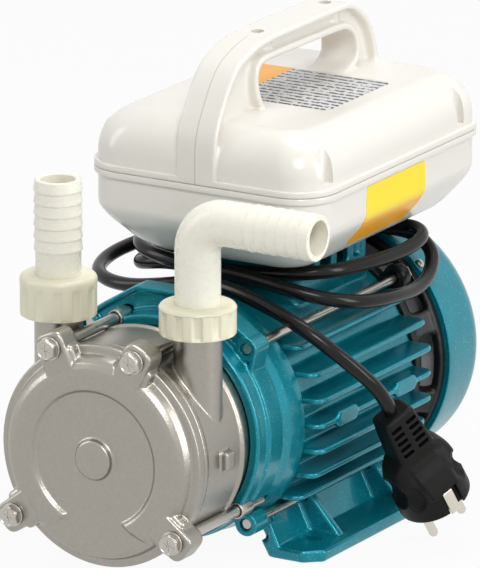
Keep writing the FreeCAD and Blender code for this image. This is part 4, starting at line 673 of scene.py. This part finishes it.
def bolts():
    """Hexagon heads with six raised marks, their shanks, washers and spacers."""
    heads = []
    for x, z in BOLTS:
        rings = [hex_ring(flats, y, x, z, soften) for flats, y, soften in BOLT_HEAD]
        heads.append(lofted("bolt_head", rings))
        for turn in (20, 80, 140):
            bar = bevelled(block("bolt_mark", (-3.1, -170.72, -0.35), (3.1, -170.2, 0.35)), 0.12, 2)
            place = Matrix.Translation(Vector((x, 0, z)) * MM) @ Matrix.Rotation(math.radians(turn), 4, "Y")
            heads.append(moved(bar, place))
        heads.append(rod("bolt_shank", (x, -167, z), (x, -80, z), 2.9))
    washers = [sleeve("bolt_washer", place, -166.7, -165.5, 3.2, 6, 0.3) for place in BOLTS]
    spacers = [sleeve("bolt_spacer", place, -103.6, FLANGE_FRONT, 3.2, 4.2, 0.4, 40) for place in BOLTS]
    dressed(joined("cover_bolt_set", heads), "steel_hardware", "cover_bolts", 32)
    dressed(joined("bolt_washer_set", washers), "steel_hardware", "bolt_washers")
    dressed(joined("bolt_spacer_set", spacers), "steel_hardware", "standoffs")


# Union nuts and hose tails

NUT_RADIUS, NUT_BORE, NUT_HOLE, NUT_STEPS = 19.6, 15.3, 11.7, 288
TAIL_BORE, TAIL_RADIUS, TAIL_COLLAR = 9, 11.6, 14.6
BARB_COUNT, BARB_PITCH = 6, 6.1
ELBOW_BEND, ELBOW_SPRING = 16, 177.4


def union_nut(name, x, low, top, ribs, depth, band, body, node):
    """A moulded nut: a ribbed skirt, a plain band and a rounded shoulder round a hole."""
    rings = []
    levels = [(low, -0.9, 0), (low + 0.25, -0.3, 0), (low + 0.9, 0, 0.5), (low + 2.2, 0, 1),
              (top - band - 1.6, 0, 1), (top - band, 0, 0.4), (top - band + 0.7, 0, 0), (top - 2.2, 0, 0),
              (top - 1.0, -0.5, 0), (top - 0.3, -1.3, 0), (top, -2.6, 0)]
    for z, grow, share in levels:
        row = []
        for k, (cos, sin) in enumerate(circle(NUT_STEPS)):
            wave = 0.5 + 0.5 * math.cos(math.tau * ribs * k / NUT_STEPS)
            radius = NUT_RADIUS + grow - depth * eased((wave - 0.42) / 0.3) * share
            row.append((x + radius * cos, PORT_Y + radius * sin, z))
        rings.append(row)
    for z, radius in ((top, NUT_HOLE), (top - 2.2, NUT_HOLE), (top - 2.2, NUT_BORE), (low, NUT_BORE)):
        rings.append([(x + radius * cos, PORT_Y + radius * sin, z) for cos, sin in circle(NUT_STEPS)])
    nut = lofted(name, rings + rings[:1], closed_ends=False)
    dressed(nut, "ivory_nylon", node, 40, body)


def barbs(start, crest):
    """Corners of a tail's barbs: a crest, a long fall and a small step out."""
    corners = []
    for step in range(BARB_COUNT):
        foot = start + step * BARB_PITCH
        corners += [(foot, 11.7), (foot + 0.25, crest - 0.1), (foot + 0.7, crest), (foot + 1.3, crest - 0.12),
                    (foot + BARB_PITCH - 0.3, 11.65)]
    return corners


def hose_tails():
    """A straight tail on the left port and an elbow on the right one."""
    profile = [(147, TAIL_BORE), (147, TAIL_COLLAR), (151.4, TAIL_COLLAR), (151.4, TAIL_RADIUS)]
    profile += [(166.2, TAIL_RADIUS)] + barbs(166.4, 12.4)
    profile += [(202.4, TAIL_RADIUS), (203, 11.0), (203, 9.6), (202.4, TAIL_BORE)]
    straight = turned("straight_tail", profile, (-PORT_X, PORT_Y, 0), (0, 0, 1))
    dressed(straight, "milky_nylon", "hose_tail_straight", 40)
    line = [(PORT_X, z, TAIL_COLLAR) for z in (145.3, 147.9)]
    line += [(PORT_X, z, TAIL_RADIUS) for z in (147.95, 152, 160, 170)]
    for turn in quarter(24):
        line.append((PORT_X + ELBOW_BEND * (1 - math.cos(turn)), ELBOW_SPRING + ELBOW_BEND * math.sin(turn),
                     TAIL_RADIUS + 0.25 * math.sin(2 * turn)))
    run = [(66, TAIL_RADIUS), (73, TAIL_RADIUS)] + barbs(73.4, 12.12) + [(109.5, 11.55), (110, 11.1)]
    line += [(x, ELBOW_SPRING + ELBOW_BEND, radius) for x, radius in run]
    path = [(x, PORT_Y, z) for x, z, _ in line]
    outer = tube_rings(path, [radius for _, _, radius in line], 64)
    bore = tube_rings(path, [TAIL_BORE] * len(path), 64)
    elbow = lofted("elbow_tail", outer + bore[::-1] + outer[:1], closed_ends=False)
    dressed(elbow, "milky_nylon", "hose_elbow", 40, "elbow")


# Motor: front bracket, housing, rear bracket, fan cover

UPPER_FLANGE = [
    (-19, 141), (19, 141), (37, 130), (53, 119), (49, 104), (30, 101), (-30, 101), (-49, 104), (-53, 119),
    (-37, 130)]
LOWER_FLANGE = [
    (53, 45), (59.4, 35), (57, 25.5), (46, 18), (34, 23), (24, 40), (-24, 40), (-34, 23), (-46, 18),
    (-57, 25.5), (-59.4, 35), (-53, 45)]


def front_bracket():
    """A stepped ring with a pocketed flange above and below, which hold the bolts and the tie rods."""
    shell = turned("bracket_shell", [
        (-102.5, 54), (-102.5, 58.2), (-101.3, 59.2), (-99.6, 59), (-92.6, 59), (-92.6, 60.2), (-79.6, 60.2),
        (-74, 61.6), (-66, 62.5), (-61, 62.5), (-61, 53.9), (-56, 53.9), (-56, 51), (-60, 51), (-60, 20.1),
        (-73, 20.1), (-73, 9.5), (-78, 9.5), (-78, 50), (-92.6, 50), (-92.6, 54),
    ], steps=192, soft=0.7)
    plates = []
    for outline in (UPPER_FLANGE, LOWER_FLANGE):
        edge = rounded(outline, 5, 5)
        pocket = extruded("flange_pocket", inset(edge, 2.6), -94, -90.2)
        plates.append(carved(extruded("flange_plate", edge, -92.8, FLANGE_BACK), [pocket]))
    way = turned("flange_way", rectangle(-99, 0, -70, 50.5))
    flanges = carved(joined("flange_plates", plates), [way])
    bosses = [sleeve("tie_boss", place, -93.2, -80, 3, 6.2, 0.6) for place in TIES]
    bracket = recast("bracket_casting", [shell, flanges] + bosses, 0.62, 3)
    sockets = [rod("tie_socket", (x, -95, z), (x, -90.5, z), 3.4) for x, z in TIES]
    sockets += [rod("bolt_way", (x, -104, z), (x, -78, z), 4.4) for x, z in BOLTS]
    dressed(carved(bracket, sockets), "teal_cast", "front_bracket", 50)


FIN_PITCH = 13.2
FIN_REACHES = (71.3, 71.3, 67.6, 59)
FIN_EDGE = ((-1.5, 0.5), (-1.2, 0.12), (0, 0), (1.2, 0.12), (1.5, 0.5))


def housing_fins():
    """Seven level fins on each side, with two oval pads on the middle ones."""
    pieces = []
    for level in range(-3, 4):
        middle = SHAFT_HEIGHT + FIN_PITCH * level
        reach = FIN_REACHES[abs(level)]
        inner = math.sqrt(56 ** 2 - (FIN_PITCH * abs(level) + 2) ** 2) if level else 55.5
        for side in (-1, 1):
            outline = rounded([
                (side * inner, HOUSING_FRONT, 0), (side * reach, HOUSING_FRONT), (side * reach, HOUSING_BACK),
                (side * inner, HOUSING_BACK, 0),
            ], 7, 8)
            rings = [[(x, y, middle + z) for x, y in inset(outline, pull)] for z, pull in FIN_EDGE]
            pieces.append(lofted("fin", rings))
    for y in (-33.3, 26.5):
        pad = rounded(rectangle(y - 10.5, SHAFT_HEIGHT - 4.2, y + 10.5, SHAFT_HEIGHT + 4.2), 4.2, 6)
        for side in (-1, 1):
            pieces.append(extruded("fin_pad", pad, side * 68.3, side * 71.6, "x"))
    return pieces


def housing_neck():
    """The open-sided neck that carries the switch box, and its four bosses."""
    neck = extruded("neck", rounded(rectangle(-33, -20, 33, 54), 5, 5), 106, 144, "z")
    ways = [extruded("neck_inside", rounded(rectangle(-29, -16, 29, 50), 3, 4), 128, 146, "z")]
    for y in (-12, 5, 22, 39):
        arch = rounded([(y, 131), (y + 11, 131), (y + 11, 141.5, 5), (y, 141.5, 5)], 0.5, 6)
        ways.append(extruded("neck_arch", arch, -40, 40, "x"))
    bosses = [rod("neck_boss", (x, y, 120), (x, y, 144), 5) for x in (-27, 27) for y in (-14, 48)]
    return bosses + [carved(neck, ways)]


def housing_feet():
    """A foot on each side with two gussets, and the keel between them."""
    feet = []
    for side in (-1, 1):
        outline = [(44, 0), (72.7, 0), (72.7, 6.4), (50, 6.4), (41.5, 24), (41.5, 38), (30, 38), (30, 24)]
        foot = extruded("foot", [(side * x, z) for x, z in outline], -66.6, 66.6)
        ends = [block("foot_end", (side * 20, low, 9), (side * 43.4, high, 60))
                for low, high in ((-80, HOUSING_FRONT), (HOUSING_BACK, 80))]
        corners = []
        for end in (-1, 1):
            corner = [(side * 73.5, end * 67), (side * 73.5, end * 58), (side * 62, end * 68)]
            corners.append(extruded("foot_corner", corner, -1, 8, "z"))
        feet.append(bevelled(carved(carved(foot, ends), corners), 1.1, 2, 20))
        gusset = [(side * x, z) for x, z in ((44, 5), (68, 5), (66, 8), (43, 34), (34, 34), (34, 20))]
        feet += [bevelled(extruded("gusset", gusset, y - 2.5, y + 2.5), 0.8, 2) for y in (-32, 32)]
    return feet + [bevelled(block("keel", (-4, -49, 6), (4, 44.5, 20)), 1)]


def motor_housing():
    """The finned barrel with its neck and feet as one casting, then its foot slots and tie rod ways."""
    barrel = turned("barrel", [
        (-61, 54), (-61, 58), (56.5, 58), (56.5, 54), (50.5, 54), (50.5, 52), (-55, 52), (-55, 54),
    ], steps=128)
    pieces = [barrel] + housing_fins() + housing_neck() + housing_feet()
    housing = recast("housing_blank", pieces, 0.9, 3)
    cuts = []
    for x in (-56, 56):
        for y in (-45, 45):
            slot = [(x + 3.5 * cos + math.copysign(2.5, cos), y + 3.5 * sin) for cos, sin in circle(32)]
            cuts.append(extruded("foot_slot", slot, -2, 12, "z"))
    cuts += [rod("tie_way", (x, -70, z), (x, 70, z), 3.2, 24) for x, z in TIES]
    dressed(carved(housing, cuts), "teal_cast", "motor_housing", 50)


SPOKE_LEVELS = ((59, 50, 59.6, 8), (66, 52, 62.5, 6.2), (72, 57, 65, 6.6), (79.4, 60.6, 65.6, 8))


def rear_bracket():
    """A plate behind the housing, and a ring in the fan cover on four spokes."""
    pieces = [turned("rear_plate", [
        (51.5, 53.9), (56.5, 53.9), (56.5, 60), (63, 60), (63, 22.5), (67, 22.5), (67, 8.5), (64, 8.5),
        (64, 17.6), (52, 17.6), (52, 22.5), (56.5, 22.5), (56.5, 50), (51.5, 50),
    ], steps=144, soft=0.8)]
    pieces.append(sleeve("rear_ring", (0, SHAFT_HEIGHT), 72, 80, 61, 66, 0.8, 144))
    pieces += [sleeve("rear_lug", place, HOUSING_BACK, 64, 2.9, 7, 0.9, 40) for place in TIES]
    for degrees in (20, 160, 200, 340):
        angle = math.radians(degrees)
        across = Vector((math.cos(angle), 0, math.sin(angle)))
        flank = Vector((-math.sin(angle), 0, math.cos(angle)))
        rings = []
        for y, low, high, half in SPOKE_LEVELS:
            rings.append([SHAFT + across * reach + flank * side + Vector((0, y, 0))
                          for reach, side in rectangle(low, -half, high, half)])
        pieces.append(bevelled(lofted("rear_spoke", rings), 1.4))
    bracket = recast("rear_bracket_casting", pieces, 0.9, 3)
    dressed(bracket, "black_cast", "rear_bracket")


def fan_cover():
    """A pressed cap with a rolled edge and a grille of level slots, and its four screws."""
    outside = [(76, 66), (76, 68.6), (76.5, 69), (80.6, 69), (81.6, 68.2), (82.4, 67.5), (98, 67.1)]
    outside += [(104 + 16 * math.sin(angle), 50 + 16.8 * math.cos(angle)) for angle in quarter(12)]
    inside = [(118.6, 49.6), (113, 60), (104, 65.2), (98, 65.7), (80.4, 66)]
    shell = turned("fan_cover_shell", outside + [(120, 0), (118.6, 0)] + inside, steps=180)
    slots = []
    for offset in range(-36, 37, 9):
        half = math.sqrt(44 ** 2 - offset ** 2)
        middle = SHAFT_HEIGHT + offset
        outline = rounded(rectangle(-half, middle - 2.4, half, middle + 2.4), 2.2)
        slots.append(extruded("fan_cover_slot", outline, 115, 123))
    dressed(carved(shell, slots), "teal_sheet", "fan_cover", 35)
    middle = SHAFT + Vector((0, 78.7, 0))
    ways = [Vector((x, 0, z)).normalized() for x in (-1, 1) for z in (-1, 1)]
    screws = [rod("cover_screw", middle + way * 68.6, middle + way * 71, 2.5, 24, 0.7) for way in ways]
    dressed(joined("cover_screw_set", screws), "steel_hardware", "fan_cover_screws")


# Switch box: hull, lid with handle, rims, plate and label

HULL_SHARES = [
    (0, 0), (0.07, 0.012), (0.15, 0.05), (0.27, 0.13), (0.4, 0.24), (0.55, 0.39), (0.7, 0.53), (0.8, 0.65),
    (0.88, 0.76), (0.93, 0.85), (0.97, 0.93), (1, 1.05)]
HANDLE_OUTER = [
    (-65.3, 189.8), (-65.3, 198), (-65.2, 206), (-64, 214), (-60.5, 222), (-56, 229.5), (-51, 237),
    (-45, 243.8), (-39.5, 247.8), (-33, 250.7), (-25, 253.2), (-16, 255), (-5, 255.8), (6, 256), (40, 256),
    (66, 256), (72, 255.6), (80, 252.5), (89, 246), (93.8, 240.2), (97.5, 234), (100, 226.8),
    (101.5, 219.4), (102, 212)]
HANDLE_INNER = [
    (-11, 215), (-12.6, 218.4), (-14.5, 222), (-17.2, 226.4), (-19, 231), (-19.7, 235), (-19.3, 238.4),
    (-18, 241), (-16, 242.4), (-12, 243.2), (-7, 243.4), (10, 243.4), (40, 243), (58, 242.8), (65.5, 242.4),
    (70.6, 241.4), (74.5, 239.4), (77.8, 236.2), (79.5, 232.4), (79.8, 228.8), (79, 225.4), (76.4, 223),
    (72.5, 221.4), (65.5, 219.4), (60, 214)]
HANDLE_POSTS = (-3, 65)
BORE_LEVELS = [(192, 6.2), (197, 6.2), (200, 6.1), (203, 5.9), (206, 5.5), (209, 5.0), (211, 4.4)]


def box_ring(pull, z, front=None, rear=None, corner=None):
    """A level rounded rectangle drawn in from the box's widest outline."""
    front = pull if front is None else front
    rear = pull if rear is None else rear
    corner = max(BOX_CORNER - 0.45 * pull, 4) if corner is None else corner
    half, low, high = BOX_HALF - pull, BOX_FRONT + front, BOX_REAR - rear
    row = []
    for cx, cy, start in ((half - corner, high - corner, 0), (-half + corner, high - corner, 90),
                          (-half + corner, low + corner, 180), (half - corner, low + corner, 270)):
        for angle in quarter(14):
            angle += math.radians(start)
            row.append((cx + corner * math.cos(angle), cy + corner * math.sin(angle), z))
    return row


def rim(name, low, high):
    """A proud lip round the box with rounded edges."""
    rings = [box_ring(pull, z) for pull, z in (
        (1.5, low), (-1.1, low), (-1.55, low + 0.2), (-1.7, low + 0.6), (-1.7, high - 0.6),
        (-1.55, high - 0.2), (-1.1, high), (1.5, high), (1.5, low))]
    return lofted(name, rings, closed_ends=False)


def hull_ring(s, share, wall):
    """A ring of the hull's underside, a share s of the way down."""
    corner = BOX_CORNER - 8 * share
    return box_ring(HULL_DRAW * share + wall, HULL_TOP - HULL_DEPTH * s, 26.6 * share + wall,
                    12.3 * share + wall, max(corner - wall, 4))


def hull_shell():
    """The lower half of the switch box, one skin inside and out, with ways for the switch and the gland."""
    outer = [box_ring(0, z) for z in (189.3, 180, 171.6)]
    outer += [hull_ring(s, share, 0) for s, share in HULL_SHARES]
    inner = [hull_ring(s, share, BOX_WALL) for s, share in HULL_SHARES[:-1]][::-1]
    inner = [[(x, y, max(z, 146.6)) for x, y, z in row] for row in inner] + [box_ring(BOX_WALL, 189.3)]
    window = block("switch_window", (19.6, 108, 172.1), (40.4, 125, 184.9))
    way = rod("gland_way", (GLAND_X, GLAND_Y, 140), (GLAND_X, GLAND_Y, 150), 7.1, 40)
    shell = carved(lofted("hull_shell", inner + outer), [window, way])
    shell = joined("hull_with_rim", [shell, rim("hull_rim", 186, 189.4)])
    dressed(shell, "white_shell", "lower_shell", 24)


def handle_pieces():
    """The handle's web with a wider band along its outer and inner edge, and two screw posts."""
    outer = smooth_line(HANDLE_OUTER, 3)
    inner = smooth_line(HANDLE_INNER, 3)
    pieces = []
    for name, outline, half, edge in (
        ("web", outer[1:] + inner[::-1], 5.6, 0.8),
        ("outer_band", outer + beside(outer, -3.2)[::-1], 11.4, 1.0),
        ("inner_band", inner + beside(inner, 3.6)[::-1], 11.2, 1.5),
    ):
        pieces.append(bevelled(extruded(f"handle_{name}", outline, -half, half, "x"), edge))
    return pieces + [rod("screw_post", (0, y, 243.6), (0, y, 255.4), 7.4, 40) for y in HANDLE_POSTS]


def lid_inset(height):
    """How far the lid's shoulder has drawn in at a height."""
    share = min(max((height - LID_SPRING) / LID_RISE, 0), 1)
    return LID_DRAW * (1 - math.sqrt(1 - share * share))


def lid_shell():
    """The domed lid as one casting with its handle, its four screw bores, its post holes and its rim."""
    heights = [189.55, 193] + [LID_SPRING + LID_RISE * math.sin(angle) for angle in quarter(16)]
    outer = [box_ring(lid_inset(z), z) for z in heights]
    crown = [box_ring(24, 219.42), box_ring(40, 219.44)]
    ceiling = [(x, y, 216.84) for x, y, _ in crown[1]]
    inner = [box_ring(lid_inset(z) + BOX_WALL, z - (BOX_WALL if z > 200 else 0)) for z in heights]
    dome = lofted("lid_dome", [ceiling] + inner[::-1] + outer + crown)
    pieces = [dome] + handle_pieces()
    cutters = []
    for side in (-1, 1):
        for y in (-46.5, 87.5):
            path = [(side * (61.2 - lid_inset(height)), y, height) for height, _ in BORE_LEVELS]
            pieces.append(lofted("bore_wall", tube_rings(path, [radius for _, radius in BORE_LEVELS], 28)))
            cutters.append(rod("screw_bore", (side * 65.4, y, 195.2), (side * 65.4, y, 226), 4.0, 48))
    cutters += [rod("post_hole", (0, y, 248), (0, y, 258), 3.4, 40) for y in HANDLE_POSTS]
    shell = carved(recast("lid_casting", pieces, 0.75, 4), cutters)
    shell = joined("lid_with_handle", [shell, rim("lid_rim", 189.6, 193)])
    dressed(shell, "white_shell", "upper_shell", 50, material=LID_WHITE)


def rating_plate():
    outline = rounded(rectangle(-41, -2, 41, 61), 2)
    plate = bevelled(extruded("rating_plate_sheet", outline, LID_TOP, LID_TOP + 0.4, "z"), 0.08, 2)
    dressed(plate, "plate_silver", "rating_plate")


def side_label():
    """A bare label with rounded corners that follows the hull's side."""
    corner = 2.2
    low, high, front, rear = 152.4, 184.8, -9.5, 50.5
    levels = [high, 184.4, 180, 175] + [HULL_TOP - HULL_DEPTH * s for s, _ in HULL_SHARES[:6]] + [low]
    points = []
    for z in levels:
        x = BOX_HALF - HULL_DRAW * between(HULL_SHARES, max(HULL_TOP - z, 0) / HULL_DEPTH)
        past = max(z - high + corner, low + corner - z, 0) / corner
        ease = corner * (1 - math.sqrt(max(1 - past ** 2, 0)))
        points += [(x, front + ease, z), (x, rear - ease, z)]
    faces = [(2 * i, 2 * i + 1, 2 * i + 3, 2 * i + 2) for i in range(len(levels) - 1)]
    sheet = mesh_piece("side_label_sheet", points, faces)
    thick = sheet.modifiers.new("thick", "SOLIDIFY")
    thick.thickness = 0.7 * MM
    thick.offset = 0
    dressed(finished(sheet), "label_yellow", "side_label", 50)


# Plug, in its own axes: z from the cord's entry to the face, x across the pins, y towards the earth clip

PLUG_ENTRY = Vector((94, -29, 75))
PLUG_HEADING = Vector((0.142, 0.501, -0.854)).normalized()
PLUG_SEEN_ACROSS = Vector((0.437, 0.742, 0.508))
PLUG_ACROSS = (PLUG_SEEN_ACROSS - PLUG_HEADING * PLUG_SEEN_ACROSS.dot(PLUG_HEADING)).normalized()
PLUG_SIDE = PLUG_HEADING.cross(PLUG_ACROSS)
PLUG_TURN = Matrix((PLUG_ACROSS, PLUG_SIDE, PLUG_HEADING)).transposed().to_4x4()
PLUG_PLACE = Matrix.Translation(PLUG_ENTRY * MM) @ PLUG_TURN
# Height, half width, half depth and how square the section is
PLUG_SECTIONS = [
    (0, 7.8, 6.2, 6), (0.5, 8.8, 7.2, 7), (1.4, 9.3, 7.7, 8), (12, 10.1, 8.4, 8), (23.6, 11.0, 9.0, 8),
    (24.6, 11.1, 9.1, 8), (25.2, 12.6, 9.2, 7), (27.5, 15.0, 9.3, 6), (30, 16.6, 9.8, 5), (33, 17.7, 11.4, 4),
    (36.5, 18.6, 14.2, 3.2), (40, 19.2, 16.6, 2.7), (43.5, 19.4, 18.2, 2.3), (47, 19.5, 19.1, 2.1),
    (50, 19.5, 19.5, 2), (59.4, 19.5, 19.5, 2), (60.2, 19.2, 19.2, 2), (60.5, 18.6, 18.6, 2)]
GRIP_OUTLINE = [(4, 29), (9.9, 29), (11.3, 32), (15.2, 36.6), (18.2, 41.6), (19.9, 46.6), (19.9, 48), (4, 48)]


def bowl(name, center, radii, steps=28):
    """An egg-shaped cutter with its long ways along the axes."""
    rings = []
    for k in range(1, steps // 2):
        angle = math.tau * k / steps
        a, b = radii[0] * math.sin(angle), radii[1] * math.sin(angle)
        z = center[2] - radii[2] * math.cos(angle)
        rings.append([(center[0] + a * cos, center[1] + b * sin, z) for cos, sin in circle(steps)])
    return lofted(name, rings)


def plug():
    """The plug's moulded body, its two pins and its two earth clips, all on the end of the cord."""
    rings = []
    for z, a, b, power in PLUG_SECTIONS:
        row = []
        for cos, sin in circle(128):
            scale = (abs(cos) ** power + abs(sin) ** power) ** (-1 / power)
            row.append((a * cos * scale, b * sin * scale, z))
        rings.append(row)
    blank = lofted("plug_blank", rings)
    cuts = [block("relief_slot", (x - 3.2, side * 4.6, z), (x + 3.2, side * 13, z + 2.2))
            for side in (-1, 1) for x in (-4.8, 4.8) for z in (4.4, 8.4, 12.4, 16.4, 20.4)]
    for side in (-1, 1):
        cuts.append(bowl("thumb_hollow", (side * 22.5, 0, 42), (8.0, 13, 10.5)))
        for face in (-1, 1):
            cuts.append(bowl("finger_hollow", (side * 17.2, face * 15.5, 43.5), (7.0, 8.5, 10)))
    pads = []
    for face in (-1, 1):
        cuts.append(block("clip_way", (-3.1, face * 15.2, 46.4), (6.6, face * 22, 62)))
        pad = extruded("grip_pad", [(face * y, z) for y, z in GRIP_OUTLINE], -9.2, 9.2, "x")
        pads.append(bevelled(pad, 1.1, 3, 20))
    padded = recast("plug_padded", [blank] + pads, 0.5, 2)
    body = moved(recast("plug_whole", [carved(padded, cuts)], 0.4, 2), PLUG_PLACE)
    dressed(body, "black_plug", "plug_body")
    profile = [(60.3, 0), (60.3, 2.4), (78, 2.4), (79, 1.9), (79.5, 0.9), (79.5, 0)]
    pins = [turned("plug_pin", profile, (side * 9.5, 0, 0), (0, 0, 1), 40) for side in (-1, 1)]
    pins = moved(joined("plug_pin_pair", pins), PLUG_PLACE)
    dressed(pins, "bright_pins", "plug_pins", 50)
    clips = [block("earth_clip", (-2.9, face * 18.7, 46.7), (2.9, face * 20.3, 60.4)) for face in (-1, 1)]
    clips = moved(joined("earth_clip_pair", [bevelled(clip, 0.5) for clip in clips]), PLUG_PLACE)
    dressed(clips, "bright_pins", "earth_clips")
    return [body, pins, clips]


# Cord: down from the box, about two and a half turns round the neck, then the lead to the plug

CORD_RADIUS = 3.7
COIL = [
    (-34, 66, 143.6), (-36, 65, 138), (-42, 60, 131.5), (-52, 50, 129), (-60, 34, 128), (-65, 16, 128),
    (-66, 0, 128), (-62, -18, 129), (-54, -25, 131.5), (-40, -27, 134.5), (-20, -27, 134.7),
    (0, -26, 134.7), (16, -25, 135.5), (30, -24, 137), (42, -18, 138), (50, -8, 138), (55, 10, 137.5),
    (58, 30, 137), (60, 52, 137.5), (58, 68, 140), (46, 76, 141), (30, 72, 139.5), (12, 62, 139),
    (-8, 59, 139), (-28, 58, 139.5), (-46, 52, 140.5), (-58, 38, 141.5), (-66, 18, 142), (-67, -2, 141.4),
    (-61, -20, 140), (-50, -29, 138.8), (-34, -33, 137.6), (-16, -34, 136.6), (0, -34, 136.5),
    (18, -34, 135), (36, -32, 131.5), (52, -25, 127.5), (62, -12, 124), (66, 4, 121.5), (67, 22, 119.6),
    (66, 42, 117), (64, 58, 118), (61, 70, 121.5), (56, 80, 128), (44, 84, 134.6), (26, 78, 137.4),
    (6, 70, 138.5), (-14, 69, 138.4), (-34, 73, 137.2), (-50, 69, 134.4), (-62, 57, 132), (-72, 40, 130.6),
    (-79, 20, 130), (-83, -3, 129), (-82, -22, 127.2), (-75, -37, 125.8), (-62, -46, 125.3),
    (-46, -50, 126.2), (-28, -50.5, 129.6), (-12, -49, 133),
]
LEAD = [
    (2, -50, 134.4), (18, -54, 133.6), (34.5, -57.5, 130.5), (50.5, -58.5, 125.3), (65, -57, 117.5),
    (77, -52.5, 108), (86.3, -45, 97.6), tuple(PLUG_ENTRY - PLUG_HEADING * 14), tuple(PLUG_ENTRY),
]


def cord(plug_pieces):
    data = bpy.data.curves.new("mains_cord", "CURVE")
    data.dimensions = "3D"
    data.resolution_u = 10
    data.bevel_depth = CORD_RADIUS * MM
    data.bevel_resolution = 8
    data.use_fill_caps = True
    line = data.splines.new("NURBS")
    route = COIL + LEAD
    line.points.add(len(route) - 1)
    for point, place in zip(line.points, route):
        point.co = (*(Vector(place) * MM), 1)
    line.order_u = 3
    line.use_endpoint_u = True
    piece = linked("mains_cord", data)
    data.materials.append(FINISHES["black_rubber"])
    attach(piece, "frame")
    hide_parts("cord_coil", "cord_lead")


def cord_gland():
    profile = [(143.2, 3.9), (143.2, 6.4), (146, 6.9), (152, 6.9), (152, 3.9)]
    nut = turned("cord_gland_nut", profile, (GLAND_X, GLAND_Y, 0), (0, 0, 1), 64, 0.5)
    dressed(nut, "black_plug", "cord_gland")


# Every piece, then the finish of the CAD nodes that stay

pump_cover()
pump_body()
bolts()
union_nut("left_union_nut", -PORT_X, 132.7, 153.7, 12, 0.7, 5.5, "left_nut", "union_nut_left")
union_nut("right_union_nut", PORT_X, 134.8, 150.2, 12, 1.5, 2.6, "right_nut", "union_nut_right")
hose_tails()
front_bracket()
motor_housing()
rear_bracket()
fan_cover()
hull_shell()
lid_shell()
rating_plate()
side_label()
cord_gland()
cord(plug())

for part in frame["record"]["subparts"]:
    node = frame["nodes"][part["node"]]
    node.data.materials.clear()
    is_switch = part["node"] in ("switch_body", "switch_rocker")
    node.data.materials.append(SWITCH_BLACK if is_switch else FINISHES[part["material_slot"]])
